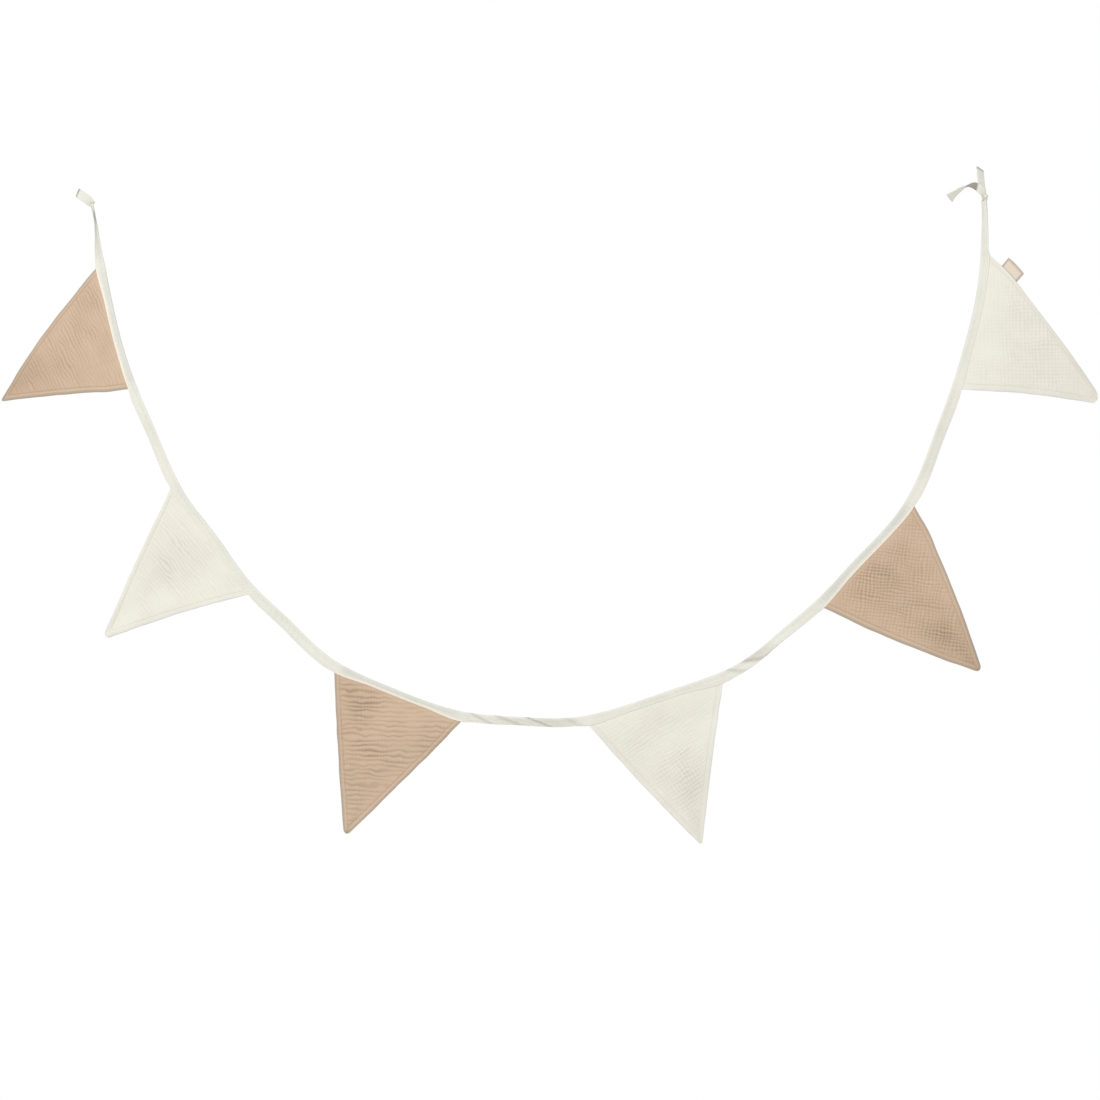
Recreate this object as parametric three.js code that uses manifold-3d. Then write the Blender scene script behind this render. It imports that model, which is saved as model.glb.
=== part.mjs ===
// Fabric bunting: six triangular flags of crinkled double gauze on one long folded binding tape, which
// hangs in a U from the knots tied in its two ends. X runs along the garland, Y is its depth with the
// front at -Y, and Z is up. The origin is the middle of the left knot.
import * as THREE from 'three';
import { mergeVertices } from 'three/addons/utils/BufferGeometryUtils.js';
import Module from 'manifold-3d';

// Driving dimensions, in millimetres and degrees
const TAPE_WIDTH = 12.8;
const TAPE_THICKNESS = 2;
const TAPE_OVER_PENNANT = 3.8;
const TAPE_START = { x: 1.2, z: -2.3 };
const TAPE_HEADING = -73.6;
const TAPE_STEP = 11;
const TAPE_TWIST_STEP = 5;
const KNOT_PINCH = { width: 7.8, thickness: 3, length: 55 };
const CORNER_EASE = 0.3;
const GAP_EASE = 0.12;
const SEAM_GAP = 0.3;
const SLOT_PAST_EDGE = 2;
const TAB_TOP = 2.3;
const TAB_HALF = 0.7;
const PENNANT_ROWS = 14;
const ROW_CROWDING = 1.5;
const TIP_CUT = 0.3;
const WELT_TAPER = { from: 1, to: 14 };
const WAVE_EASE = 0.35;
const WAVE_FADE = 0.7;
const SHOULDER_END = 0.36;
const LABEL = { start: 19.2, length: 25.5, stand: 12, lean: -1.2, half: 0.55, curl: -2.4, steps: 6 };
const SIDE_STEP = 0.002;

// The run of the tape from the left tie to the right tie; bendA and bendB turn the two halves of each
// stretch, and its middle rises by `bow` above the corners that the pennants pull down. Between pennants
// the tape rolls about its fold by `roll`. Halfway it is `middle` wide, or TAPE_WIDTH where its row names
// none, and at a pennant's corners it is cornerA and cornerB wide.
const TAPE_RUN = [
  { stretch: 'left_end', length: 82, bendA: -4.9, bendB: 0.78, bow: 0, roll: 64, middle: 12 },
  { stretch: 'pennant_1', length: 158, bendA: 2.89, bendB: 8, bow: 0,
    cornerA: 12.3, middle: 9.8, cornerB: 11 },
  { stretch: 'gap_1_2', length: 134.5, bendA: 0.93, bendB: 4.85, bow: 1.5, roll: 12 },
  { stretch: 'pennant_2', length: 160.5, bendA: 8.86, bendB: 7.03, bow: 4.8,
    cornerA: 11.8, middle: 9.8, cornerB: 12.4 },
  { stretch: 'gap_2_3', length: 138.5, bendA: 0.04, bendB: 15.04, bow: 2.6, roll: -6, middle: 13.3 },
  { stretch: 'pennant_3', length: 158.5, bendA: 8.21, bendB: 10.54, bow: 2.2,
    cornerA: 12.4, middle: 8, cornerB: 12 },
  { stretch: 'gap_3_4', length: 145, bendA: 7.56, bendB: 14.4, bow: 2.4, roll: 26, middle: 10.2 },
  { stretch: 'pennant_4', length: 158.5, bendA: 8.22, bendB: 2.12, bow: 1.7,
    cornerA: 12.1, middle: 8.8, cornerB: 12.8 },
  { stretch: 'gap_4_5', length: 140, bendA: 20.03, bendB: 1.25, bow: 1.7, roll: -26, middle: 11.8 },
  { stretch: 'pennant_5', length: 153, bendA: 2.52, bendB: 13.56, bow: 3,
    cornerA: 12.6, middle: 10.2, cornerB: 12 },
  { stretch: 'gap_5_6', length: 144, bendA: 11.37, bendB: 0.85, bow: 1.6, roll: 20 },
  { stretch: 'pennant_6', length: 160, bendA: 4.44, bendB: 10.37, bow: 0.2,
    cornerA: 12, middle: 9.8, cornerB: 10.4 },
  { stretch: 'right_end', length: 65, bendA: 0.4, bendB: 5.2, bow: 0, roll: -50, middle: 8.6 },
];

// The pennants. The tip lies `along` the top edge and `drop` below it, `lean` back from the plane of the
// tape. `sway` and `swell` shift and widen the middle, `shoulder` fills out the upper part of the second
// side, and the sides would meet `blunt` past the rounded tip. The soft folds are one wave of cloth with
// its height, its turns `across` and `down` the pennant, and its phase; it fades towards the tip.
const PENNANTS = [
  { name: 'pennant_1', cloth: 'beige', along: 117.6, drop: 161, lean: 14, sway: -2.7,
    swell: 2.1, shoulder: 1.6, blunt: 2.7, wave: 2.2, across: 0.7, down: 0.9, phase: 20 },
  { name: 'pennant_2', cloth: 'ivory', along: 97.9, drop: 165.5, lean: -5, sway: -2.4,
    swell: -0.8, blunt: 7.5, wave: 2.2, across: 1.1, down: 0.6, phase: 125 },
  { name: 'pennant_3', cloth: 'beige', along: 81.3, drop: 168.2, lean: 6, sway: 0,
    swell: 0.9, blunt: 6.8, wave: 3.2, across: 1.3, down: 0.4, phase: 320 },
  { name: 'pennant_4', cloth: 'ivory', along: 82.1, drop: 164.3, lean: -4, sway: -1.5,
    swell: 0.6, blunt: 3, wave: 2.8, across: 0.8, down: 1.1, phase: 220 },
  { name: 'pennant_5', cloth: 'beige', along: 62.8, drop: 175.6, lean: 9, sway: 0.2,
    swell: 4.1, shoulder: 1.6, blunt: 7.1, wave: 3.4, across: 1.2, down: 0.7, phase: 100 },
  { name: 'pennant_6', cloth: 'ivory', along: 23.6, drop: 152.4, lean: 18, sway: 2.9,
    swell: 1.3, shoulder: 2.3, blunt: 12.7, wave: 3.6, across: 1.4, down: 0.5, phase: 120 },
];

// Half of the tape's section: places in from its fold, its middle or its open edge, and how much of the
// half thickness the tape has there
const TAPE_SECTION = [
  { edge: 'fold', inset: 0, full: 0 },
  { edge: 'fold', inset: 0.5, full: 0.7 },
  { edge: 'fold', inset: 2, full: 1 },
  { edge: 'middle', inset: 0, full: 1 },
  { edge: 'open', inset: 1.8, full: 1 },
  { edge: 'open', inset: 0, full: 0.78 },
];

// Half thickness of a pennant at a distance in from its sewn edge: a full welt over the seam allowance,
// the groove of the topstitching, and the flatter field of two layers.
const EDGE_PROFILE = [
  { inset: 0, half: 0.45 },
  { inset: 1.3, half: 1.15 },
  { inset: 4.2, half: 1.3 },
  { inset: 6.2, half: 0.95 },
  { inset: 7, half: 0.6 },
  { inset: 7.8, half: 0.85 },
  { inset: 10.5, half: 1 },
];

// Share of the local width that each crowded column may take where the pennant narrows to its tip
const EDGE_SHARE = [0, 0.04, 0.09, 0.13, 0.16, 0.19, 0.24];
const FIELD_COLUMNS = 5;

// The free ends at the knots, from the knot outwards and placed from its middle. In each row `turn` is
// the slope of the tape's width across the front view, and `roll` turns that width away from the view.
const FREE_ENDS = {
  left: [
    { x: 0.4, y: 0, z: -2.6, width: 9, turn: 70, roll: 10 },
    { x: -3.2, y: -1, z: 1, width: 11.6, turn: 70, roll: 14 },
    { x: -8, y: -1.8, z: 4.8, width: 12, turn: 69, roll: 16 },
    { x: -13.6, y: -1.6, z: 8.8, width: 11.8, turn: 69, roll: 14 },
    { x: -19.4, y: -0.4, z: 13, width: 11.2, turn: 74, roll: 6 },
  ],
  up: [
    { x: 1.2, y: 1.2, z: -8, width: 6.2, turn: -2, roll: 10 },
    { x: 0, y: 1.4, z: -1, width: 7, turn: -2, roll: 20 },
    { x: -1.5, y: 1, z: 6, width: 9, turn: -2, roll: 30 },
    { x: -2.5, y: 0.4, z: 13, width: 10.6, turn: -2, roll: 36 },
    { x: -3.1, y: 0, z: 20, width: 11.4, turn: -4, roll: 40 },
    { x: -3.3, y: -0.2, z: 29.4, width: 11.8, turn: -21, roll: 40 },
  ],
  side: [
    { x: 0.8, y: -1.6, z: -9, width: 6.2, turn: 0, roll: 6 },
    { x: -0.2, y: -2.6, z: -3.6, width: 7, turn: 16, roll: 8 },
    { x: -3.4, y: -3.4, z: 1.8, width: 8.8, turn: 44, roll: 12 },
    { x: -8.9, y: -4.2, z: 6.6, width: 11, turn: 80, roll: 20 },
    { x: -15.2, y: -4.6, z: 7.8, width: 12.2, turn: 92, roll: 52 },
    { x: -20.6, y: -4.4, z: 7, width: 12.8, turn: 100, roll: 78 },
    { x: -26.8, y: -3.4, z: 4.2, width: 12.8, turn: 106, roll: 98 },
    { x: -33, y: -1.8, z: 0, width: 12.8, turn: 120, roll: 109 },
    { x: -39.6, y: 0, z: -5, width: 12.8, turn: 138, roll: 138 },
  ],
};
const FREE_END_THICKNESS = 1.8;

// One side of a free end's section, as shares of its width and of its half thickness
const FREE_END_SECTION = [
  { across: -0.5, out: 0.4 },
  { across: -0.42, out: 1 },
  { across: 0.42, out: 1 },
  { across: 0.5, out: 0.4 },
];
const FREE_END_STEPS = 3;

// Each knot's rounded core, shifted from its middle, and the wrapped turn that slants over it
const KNOTS = {
  left: { x: 0.2, z: -1.4, width: 5, depth: 6.8, height: 12, ring: 2, ringHalf: 1.1, ringTall: 1.7,
    tilt: 34, lift: 0.4 },
  right: { x: 1.4, z: -3.4, width: 6.6, depth: 7.6, height: 14, ring: 2.5, ringHalf: 1.2, ringTall: 1.8,
    tilt: -28, lift: -4.6 },
};
const KNOT_SEGMENTS = { around: 14, up: 10, ringAround: 18, ringSection: 6 };
const RIGHT_KNOT_RISE = 8.6;
const KNOT_ROOM = [-SEAM_GAP, 4, 12];

// How far out along the label each row of its section lies; the last is the thin sealed edge
const LABEL_SHARES = [0, 0.3, 0.6, 0.88, 1];

const CLOTH = {
  beige: new THREE.MeshStandardMaterial({ color: 0xcbb199, roughness: 0.95, metalness: 0 }),
  ivory: new THREE.MeshStandardMaterial({ color: 0xebe8dc, roughness: 0.95, metalness: 0 }),
  tape: new THREE.MeshStandardMaterial({ color: 0xe9e7dd, roughness: 0.9, metalness: 0 }),
  label: new THREE.MeshStandardMaterial({ color: 0xdcc6ae, roughness: 0.6, metalness: 0 }),
};

const radians = THREE.MathUtils.degToRad;
const lerp = THREE.MathUtils.lerp;
const clamp = THREE.MathUtils.clamp;
const smoothstep = THREE.MathUtils.smoothstep;

// The fold line of the tape as a chain of arcs, two to a stretch
function layOutTape() {
  const arcs = [];
  const stretches = {};
  let { x, z } = TAPE_START;
  let heading = radians(TAPE_HEADING);
  let s = 0;
  for (const [i, row] of TAPE_RUN.entries()) {
    const startWidth = row.cornerA ?? TAPE_RUN[i - 1]?.cornerB ?? TAPE_WIDTH;
    const endWidth = row.cornerB ?? TAPE_RUN[i + 1]?.cornerA ?? TAPE_WIDTH;
    stretches[row.stretch] = { ...row, startWidth, endWidth, from: s, to: s + row.length };
    for (const bend of [row.bendA, row.bendB]) {
      const arc = { from: s, length: row.length / 2, x, z, heading, turn: radians(bend) };
      arcs.push(arc);
      const end = walkArc(arc, arc.length);
      x = end.x;
      z = end.z;
      heading = end.heading;
      s += arc.length;
    }
  }
  return { arcs, stretches, length: s };
}

function walkArc(arc, distance) {
  const radius = arc.length / arc.turn;
  const heading = arc.heading + distance / radius;
  return {
    x: arc.x + radius * (Math.sin(heading) - Math.sin(arc.heading)),
    z: arc.z - radius * (Math.cos(heading) - Math.cos(arc.heading)),
    heading,
  };
}

const TAPE = layOutTape();

// Place and heading on the fold line at a distance along it, straight on past either end
function foldAt(s) {
  const inside = clamp(s, 0, TAPE.length);
  const arc = TAPE.arcs.findLast((a) => a.from <= inside);
  const place = walkArc(arc, inside - arc.from);
  const past = s - inside;
  const row = stretchAt(inside);
  const rise = row.bow * Math.sin(Math.PI * (inside - row.from) / row.length) ** 2;
  place.x += past * Math.cos(place.heading) - rise * Math.sin(place.heading);
  place.z += past * Math.sin(place.heading) + rise * Math.cos(place.heading);
  return place;
}

function stretchAt(s) {
  const inside = clamp(s, 0, TAPE.length);
  return Object.values(TAPE.stretches).findLast((row) => row.from <= inside);
}

// Width, thickness and roll of the tape at a distance along it
function tapeForm(s) {
  const row = stretchAt(s);
  const share = clamp((s - row.from) / row.length, 0, 1);
  const overPennant = row.stretch.startsWith('pennant');
  const ease = overPennant ? CORNER_EASE : GAP_EASE;
  const corner = share < 0.5 ? row.startWidth : row.endWidth;
  const inMiddle = smoothstep(Math.min(share, 1 - share), 0, ease);
  const width = lerp(corner, row.middle ?? TAPE_WIDTH, inMiddle);
  let thickness = TAPE_OVER_PENNANT;
  let roll = 0;
  if (row.stretch === 'left_end') {
    roll = row.roll * (1 - share ** 2);
  } else if (row.stretch === 'right_end') {
    roll = row.roll * (1 - (1 - share) ** 2);
  } else if (!overPennant) {
    roll = row.roll * Math.sin(Math.PI * share) ** 2;
  }
  if (!overPennant) {
    const nearest = Math.min(
      row.stretch === 'left_end' ? Infinity : s - row.from,
      row.stretch === 'right_end' ? Infinity : row.to - s,
    );
    thickness = lerp(TAPE_OVER_PENNANT, TAPE_THICKNESS, smoothstep(nearest, WELT_TAPER.from, WELT_TAPER.to));
  }
  const toKnot = Math.min(s, TAPE.length - s);
  const pinch = 1 - smoothstep(toKnot, 0, KNOT_PINCH.length);
  return {
    width: lerp(width, KNOT_PINCH.width, pinch),
    thickness: lerp(thickness, KNOT_PINCH.thickness, pinch),
    roll: radians(roll),
  };
}

// A point of the tape: `across` from the fold towards the open edge, `out` through its thickness
function tapePoint(s, across, out) {
  const place = foldAt(s);
  const { roll, width } = tapeForm(s);
  const down = new THREE.Vector3(Math.sin(place.heading), 0, -Math.cos(place.heading));
  const back = new THREE.Vector3(0, 1, 0);
  const along = down.clone().multiplyScalar(Math.cos(roll)).addScaledVector(back, Math.sin(roll));
  const through = back.clone().multiplyScalar(Math.cos(roll)).addScaledVector(down, -Math.sin(roll));
  const balance = -Math.sin(roll) * width / 2;
  return new THREE.Vector3(place.x, balance, place.z)
    .addScaledVector(along, across)
    .addScaledVector(through, out);
}

// The closed outline of the folded tape, grown by `grow` for the room it needs in a knot
function tapeLoop(s, grow = 0) {
  const { width, thickness } = tapeForm(s);
  const half = thickness / 2 + grow;
  const outline = TAPE_SECTION.map(({ edge, inset, full }) => {
    const across = { fold: inset - grow, middle: width / 2, open: width - inset + grow }[edge];
    return { across, out: full * half };
  });
  const mirrored = outline.slice(1).reverse().map(({ across, out }) => ({ across, out: -out }));
  return [...outline, ...mirrored].map(({ across, out }) => tapePoint(s, across, out));
}

// A closed skin over a row of loops with as many points each, with fans over both ends
function loft(loops) {
  const around = loops[0].length;
  const positions = loops.flat().flatMap((point) => point.toArray());
  const faces = [];
  for (let i = 0; i < loops.length - 1; i += 1) {
    for (let j = 0; j < around; j += 1) {
      const a = i * around + j;
      const b = i * around + ((j + 1) % around);
      faces.push(a, b, b + around, a, b + around, a + around);
    }
  }
  const last = (loops.length - 1) * around;
  for (let j = 1; j < around - 1; j += 1) {
    faces.push(0, j + 1, j);
    faces.push(last, last + j, last + j + 1);
  }
  return facingOut(positions, faces);
}

// A sheet from rows of points on its front and on its back, closed round its rim
function slab(rows) {
  const across = rows[0].length;
  const fronts = rows.flat().flatMap((cell) => cell.front.toArray());
  const backs = rows.flat().flatMap((cell) => cell.back.toArray());
  const offset = rows.length * across;
  const faces = [];
  const rim = (a, b) => faces.push(a, b, b + offset, a, b + offset, a + offset);
  for (let i = 0; i < rows.length - 1; i += 1) {
    for (let j = 0; j < across - 1; j += 1) {
      const a = i * across + j;
      const b = a + across;
      faces.push(a, b, b + 1, a, b + 1, a + 1);
      faces.push(a + offset, b + 1 + offset, b + offset, a + offset, a + 1 + offset, b + 1 + offset);
    }
    rim((i + 1) * across, i * across);
    rim(i * across + across - 1, (i + 1) * across + across - 1);
  }
  for (let j = 0; j < across - 1; j += 1) {
    rim(j, j + 1);
    rim((rows.length - 1) * across + j + 1, (rows.length - 1) * across + j);
  }
  return facingOut([...fronts, ...backs], faces);
}

function facingOut(positions, faces) {
  const corner = (index) => new THREE.Vector3().fromArray(positions, 3 * index);
  let volume = 0;
  for (let k = 0; k < faces.length; k += 3) {
    volume += corner(faces[k]).dot(corner(faces[k + 1]).cross(corner(faces[k + 2])));
  }
  if (volume < 0) {
    faces.reverse();
  }
  const geometry = new THREE.BufferGeometry();
  geometry.setAttribute('position', new THREE.Float32BufferAttribute(positions, 3));
  geometry.setIndex(faces);
  return geometry;
}

const wasm = await Module();
wasm.setup();

function solid(geometry) {
  const bare = geometry.clone();
  bare.deleteAttribute('normal');
  bare.deleteAttribute('uv');
  const merged = mergeVertices(bare);
  return new wasm.Manifold(new wasm.Mesh({
    numProp: 3,
    vertProperties: new Float32Array(merged.attributes.position.array),
    triVerts: new Uint32Array(merged.index.array),
  }));
}

function meshOf(name, material, shape) {
  const { vertProperties, triVerts } = shape.getMesh();
  const geometry = new THREE.BufferGeometry();
  geometry.setAttribute('position', new THREE.Float32BufferAttribute(vertProperties, 3));
  geometry.setIndex([...triVerts]);
  return named(name, material, geometry);
}

function named(name, material, geometry) {
  const mesh = new THREE.Mesh(geometry, material);
  mesh.name = name;
  return mesh;
}

// Even steps over a stretch of the tape, its last one left to the next stretch
function stationsOver(from, to, step) {
  const count = Math.ceil((to - from) / step);
  return Array.from({ length: count }, (_, i) => lerp(from, to, i / count));
}

// The tape: one binding with a slot for the top edge of each pennant
function makeTape() {
  const stations = Object.values(TAPE.stretches).flatMap((row) => {
    const step = row.stretch.endsWith('end') ? TAPE_TWIST_STEP : TAPE_STEP;
    return stationsOver(row.from, row.to, step);
  });
  stations.push(TAPE.length);
  let shape = solid(loft(stations.map((s) => tapeLoop(s))));
  for (const pennant of PENNANTS) {
    const { from, to } = TAPE.stretches[pennant.name];
    const half = TAB_HALF + SEAM_GAP;
    const top = TAB_TOP - SEAM_GAP;
    const bottom = TAPE_WIDTH + SLOT_PAST_EDGE;
    const places = [...stationsOver(from - SEAM_GAP, to + SEAM_GAP, TAPE_STEP), to + SEAM_GAP];
    const slot = places.map((s) => [
      tapePoint(s, top, -half),
      tapePoint(s, bottom, -half),
      tapePoint(s, bottom, half),
      tapePoint(s, top, half),
    ]);
    shape = shape.subtract(solid(loft(slot)));
  }
  return meshOf('tape', CLOTH.tape, shape);
}

function edgeHalf(inset) {
  const next = EDGE_PROFILE.findIndex((row) => row.inset > inset);
  if (next < 0) {
    return EDGE_PROFILE.at(-1).half;
  }
  const low = EDGE_PROFILE[next - 1];
  const high = EDGE_PROFILE[next];
  return lerp(low.half, high.half, (inset - low.inset) / (high.inset - low.inset));
}

// The shape of one pennant: its two sides, and any point of its middle surface below the tape
function pennantForm(pennant) {
  const { from, length } = TAPE.stretches[pennant.name];
  const openEdge = (share) => {
    const s = from + share * length;
    return tapePoint(s, tapeForm(s).width, 0);
  };
  const first = openEdge(0);
  const second = openEdge(1);
  const base = second.clone().sub(first);
  const unit = base.clone().normalize();
  const down = new THREE.Vector3(unit.z, 0, -unit.x);
  const tip = first.clone().addScaledVector(unit, pennant.along).addScaledVector(down, pennant.drop);
  tip.y = pennant.lean;
  const height = pennant.drop;
  const slope = base.length() / 2 / (height + pennant.blunt);
  const sine = slope / Math.hypot(1, slope);
  const tipRadius = pennant.blunt * sine / (1 - sine);
  const halfWidth = (v) => {
    const fromTip = (1 - v) * height;
    const straight = fromTip >= tipRadius * (1 - sine);
    const half = straight ? slope * (fromTip + pennant.blunt) : Math.sqrt(fromTip * (2 * tipRadius - fromTip));
    return half + pennant.swell * Math.sin(Math.PI * v);
  };
  const middle = (v) => {
    const top = first.clone().add(second).multiplyScalar(0.5);
    return top.lerp(tip, v).addScaledVector(unit, pennant.sway * Math.sin(Math.PI * v));
  };
  const depth = (u, v) => {
    const turns = pennant.across * u + pennant.down * v;
    const wave = Math.sin(2 * Math.PI * turns + radians(pennant.phase));
    const height = pennant.wave * smoothstep(v, 0, WAVE_EASE) * (1 - WAVE_FADE * v);
    return pennant.lean * v * v + height * wave;
  };
  const surface = (u, v) => {
    const sag = openEdge(u).sub(first.clone().lerp(second, u));
    const filled = (pennant.shoulder ?? 0) * Math.sin(Math.PI * Math.min(v / SHOULDER_END, 1)) ** 2;
    const point = middle(v).addScaledVector(unit, (2 * u - 1) * halfWidth(v) + u * filled);
    point.addScaledVector(sag, 1 - v);
    point.y = depth(u, v);
    return point;
  };
  return { from, length, height, halfWidth, surface };
}

// Places across a pennant, crowded at both sewn edges, as distances from the first edge
function columnsAt(width) {
  const edge = EDGE_PROFILE.map((row, k) => Math.min(row.inset, EDGE_SHARE[k] * width));
  const start = edge.at(-1);
  const pitch = (width - 2 * start) / (FIELD_COLUMNS + 1);
  const field = Array.from({ length: FIELD_COLUMNS }, (_, k) => start + (k + 1) * pitch);
  return [...edge, ...field, ...edge.map((inset) => width - inset).reverse()];
}

// One pennant: its top edge stands in the slot of the tape, and below it the cloth narrows to the tip
function makePennant(pennant) {
  const form = pennantForm(pennant);
  const topColumns = columnsAt(form.length);
  const rows = [];
  for (const share of [0, 0.5]) {
    rows.push(topColumns.map((distance) => {
      const s = form.from + distance;
      const across = lerp(TAB_TOP, tapeForm(s).width, share);
      return { front: tapePoint(s, across, -TAB_HALF), back: tapePoint(s, across, TAB_HALF) };
    }));
  }
  for (let i = PENNANT_ROWS; i >= 0; i -= 1) {
    const fromTip = TIP_CUT + (form.height - TIP_CUT) * (i / PENNANT_ROWS) ** ROW_CROWDING;
    const v = 1 - fromTip / form.height;
    const width = 2 * form.halfWidth(v);
    const ease = smoothstep(form.height - fromTip, 0, WELT_TAPER.to);
    rows.push(columnsAt(width).map((distance) => {
      const inset = Math.min(distance, width - distance, fromTip);
      const half = lerp(TAB_HALF, edgeHalf(inset), ease);
      const front = form.surface(distance / width, v);
      const back = front.clone();
      front.y -= half;
      back.y += half;
      return { front, back };
    }));
  }
  return named(pennant.name, CLOTH[pennant.cloth], slab(rows));
}

// The folded label, sewn by its root in the upper seam of the last pennant and left bare
function makeLabel() {
  const form = pennantForm(PENNANTS.at(-1));
  const sideAt = (distance) => {
    let place = form.surface(1, 0);
    let walked = 0;
    for (let v = SIDE_STEP; walked < distance; v += SIDE_STEP) {
      const next = form.surface(1, v);
      walked += place.distanceTo(next);
      place = next;
    }
    return place;
  };
  const rows = [];
  for (let i = 0; i <= LABEL.steps; i += 1) {
    const distance = LABEL.start + LABEL.length * (i / LABEL.steps);
    const root = sideAt(distance);
    const seam = sideAt(distance + 1).sub(sideAt(distance - 1)).normalize();
    const outward = new THREE.Vector3(-seam.z, 0, seam.x).normalize();
    rows.push(LABEL_SHARES.map((share) => {
      const middle = root.clone()
        .addScaledVector(outward, SEAM_GAP + LABEL.stand * share)
        .addScaledVector(seam, LABEL.lean * share);
      middle.y += LABEL.curl * share * share;
      const half = share === 1 ? LABEL.half / 2 : LABEL.half;
      const front = middle.clone();
      const back = middle.clone();
      front.y -= half;
      back.y += half;
      return { front, back };
    }));
  }
  return named('label', CLOTH.label, slab(rows));
}

// A free end of the tape: a flat ribbon that leaves the knot and twists as its rows say
function ribbon(rows, centre) {
  const curve = new THREE.CatmullRomCurve3(rows.map((row) => new THREE.Vector3(row.x, row.y, row.z)));
  const steps = FREE_END_STEPS * (rows.length - 1);
  const loops = [];
  for (let i = 0; i <= steps; i += 1) {
    const t = i / steps;
    const slot = Math.min(Math.floor(t * (rows.length - 1)), rows.length - 2);
    const share = t * (rows.length - 1) - slot;
    const width = lerp(rows[slot].width, rows[slot + 1].width, share);
    const roll = radians(lerp(rows[slot].roll, rows[slot + 1].roll, share));
    const turn = radians(lerp(rows[slot].turn, rows[slot + 1].turn, share));
    const run = curve.getTangent(t);
    const wide = new THREE.Vector3(
      Math.cos(roll) * Math.cos(turn),
      Math.sin(roll),
      Math.cos(roll) * Math.sin(turn),
    );
    const thin = run.clone().cross(wide).normalize();
    const half = FREE_END_THICKNESS / 2;
    const back = FREE_END_SECTION.map(({ across, out }) => ({ across, out: -out })).reverse();
    loops.push([...FREE_END_SECTION, ...back].map(({ across, out }) => curve.getPoint(t).add(centre)
      .addScaledVector(wide, across * width)
      .addScaledVector(thin, out * half)));
  }
  return solid(loft(loops));
}

// A knot: a rounded core with the wrapped turn of the tape slanting over it
function knot(size, centre) {
  const core = new THREE.SphereGeometry(1, KNOT_SEGMENTS.around, KNOT_SEGMENTS.up);
  core.scale(size.width / 2, size.depth / 2, size.height / 2);
  core.translate(centre.x + size.x, centre.y, centre.z + size.z);
  const ring = new THREE.TorusGeometry(size.ring, size.ringHalf, KNOT_SEGMENTS.ringSection,
    KNOT_SEGMENTS.ringAround);
  ring.scale(1, 1, size.ringTall);
  ring.rotateY(radians(size.tilt));
  ring.translate(centre.x + size.x, centre.y, centre.z + size.lift);
  return solid(core).add(solid(ring));
}

// A tie: the knot and its free ends, with room for the end of the tape that runs into it
function makeTie(name, size, centre, ends, tapeEnds) {
  let shape = knot(size, centre);
  for (const rows of ends) {
    shape = shape.add(ribbon(rows, centre));
  }
  const room = loft(tapeEnds.map((s) => tapeLoop(s, SEAM_GAP)));
  return meshOf(name, CLOTH.tape, shape.subtract(solid(room)));
}

const bunting = new THREE.Group();
bunting.add(makeTape());
for (const pennant of PENNANTS) {
  bunting.add(makePennant(pennant));
}
bunting.add(makeLabel());
const leftCentre = new THREE.Vector3(0, 0, 0);
bunting.add(makeTie('left_tie', KNOTS.left, leftCentre, [FREE_ENDS.left], KNOT_ROOM));
const tapeEnd = tapePoint(TAPE.length, KNOT_PINCH.width / 2, 0);
const rightCentre = new THREE.Vector3(tapeEnd.x, 0, tapeEnd.z + RIGHT_KNOT_RISE);
bunting.add(makeTie('right_tie', KNOTS.right, rightCentre, [FREE_ENDS.up, FREE_ENDS.side],
  KNOT_ROOM.map((distance) => TAPE.length - distance)));

export default bunting;
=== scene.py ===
# Fabric bunting: six crinkled double-gauze pennants sewn into one folded binding tape, which hangs in
# a U from the knots tied in its two ends. Metres, with X along the garland, the front at -Y and Z up.
import math

import bpy
import numpy as np
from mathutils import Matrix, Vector


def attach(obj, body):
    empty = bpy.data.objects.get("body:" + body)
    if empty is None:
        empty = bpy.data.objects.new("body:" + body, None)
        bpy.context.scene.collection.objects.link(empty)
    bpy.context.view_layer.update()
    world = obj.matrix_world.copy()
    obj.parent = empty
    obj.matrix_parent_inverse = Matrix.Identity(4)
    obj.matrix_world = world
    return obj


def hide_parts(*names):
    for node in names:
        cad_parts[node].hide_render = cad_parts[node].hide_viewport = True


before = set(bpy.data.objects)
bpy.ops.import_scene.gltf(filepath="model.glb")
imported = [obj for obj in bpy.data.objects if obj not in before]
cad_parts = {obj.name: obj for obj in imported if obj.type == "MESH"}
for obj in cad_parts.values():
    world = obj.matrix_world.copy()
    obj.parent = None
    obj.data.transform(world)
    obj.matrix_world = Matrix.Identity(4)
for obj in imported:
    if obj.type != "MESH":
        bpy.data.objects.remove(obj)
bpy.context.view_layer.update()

# The view: a level camera just right of the middle and below it, looking a little up at the garland,
# far enough away that the pennants keep their shape
CAMERA_AIM = (0.57, 0.0, -0.4438)
CAMERA_AZIMUTH = -7.0
CAMERA_RISE = 8.0
CAMERA_DISTANCE = 2.1358
CAMERA_LENS_MM = 60.0
CAMERA_SENSOR_MM = 36.0

turn = math.radians(CAMERA_AZIMUTH)
rise = math.radians(CAMERA_RISE)
sight = Vector((math.sin(turn) * math.cos(rise), math.cos(turn) * math.cos(rise), math.sin(rise)))
bpy.ops.object.select_all(action="DESELECT")
bpy.ops.object.camera_add(location=Vector(CAMERA_AIM) - CAMERA_DISTANCE * sight)
camera = bpy.context.object
camera.name = "front_view"
camera.rotation_euler = sight.to_track_quat("-Z", "Y").to_euler()
camera.data.lens = CAMERA_LENS_MM
camera.data.sensor_width = CAMERA_SENSOR_MM
bpy.context.scene.camera = camera

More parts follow.
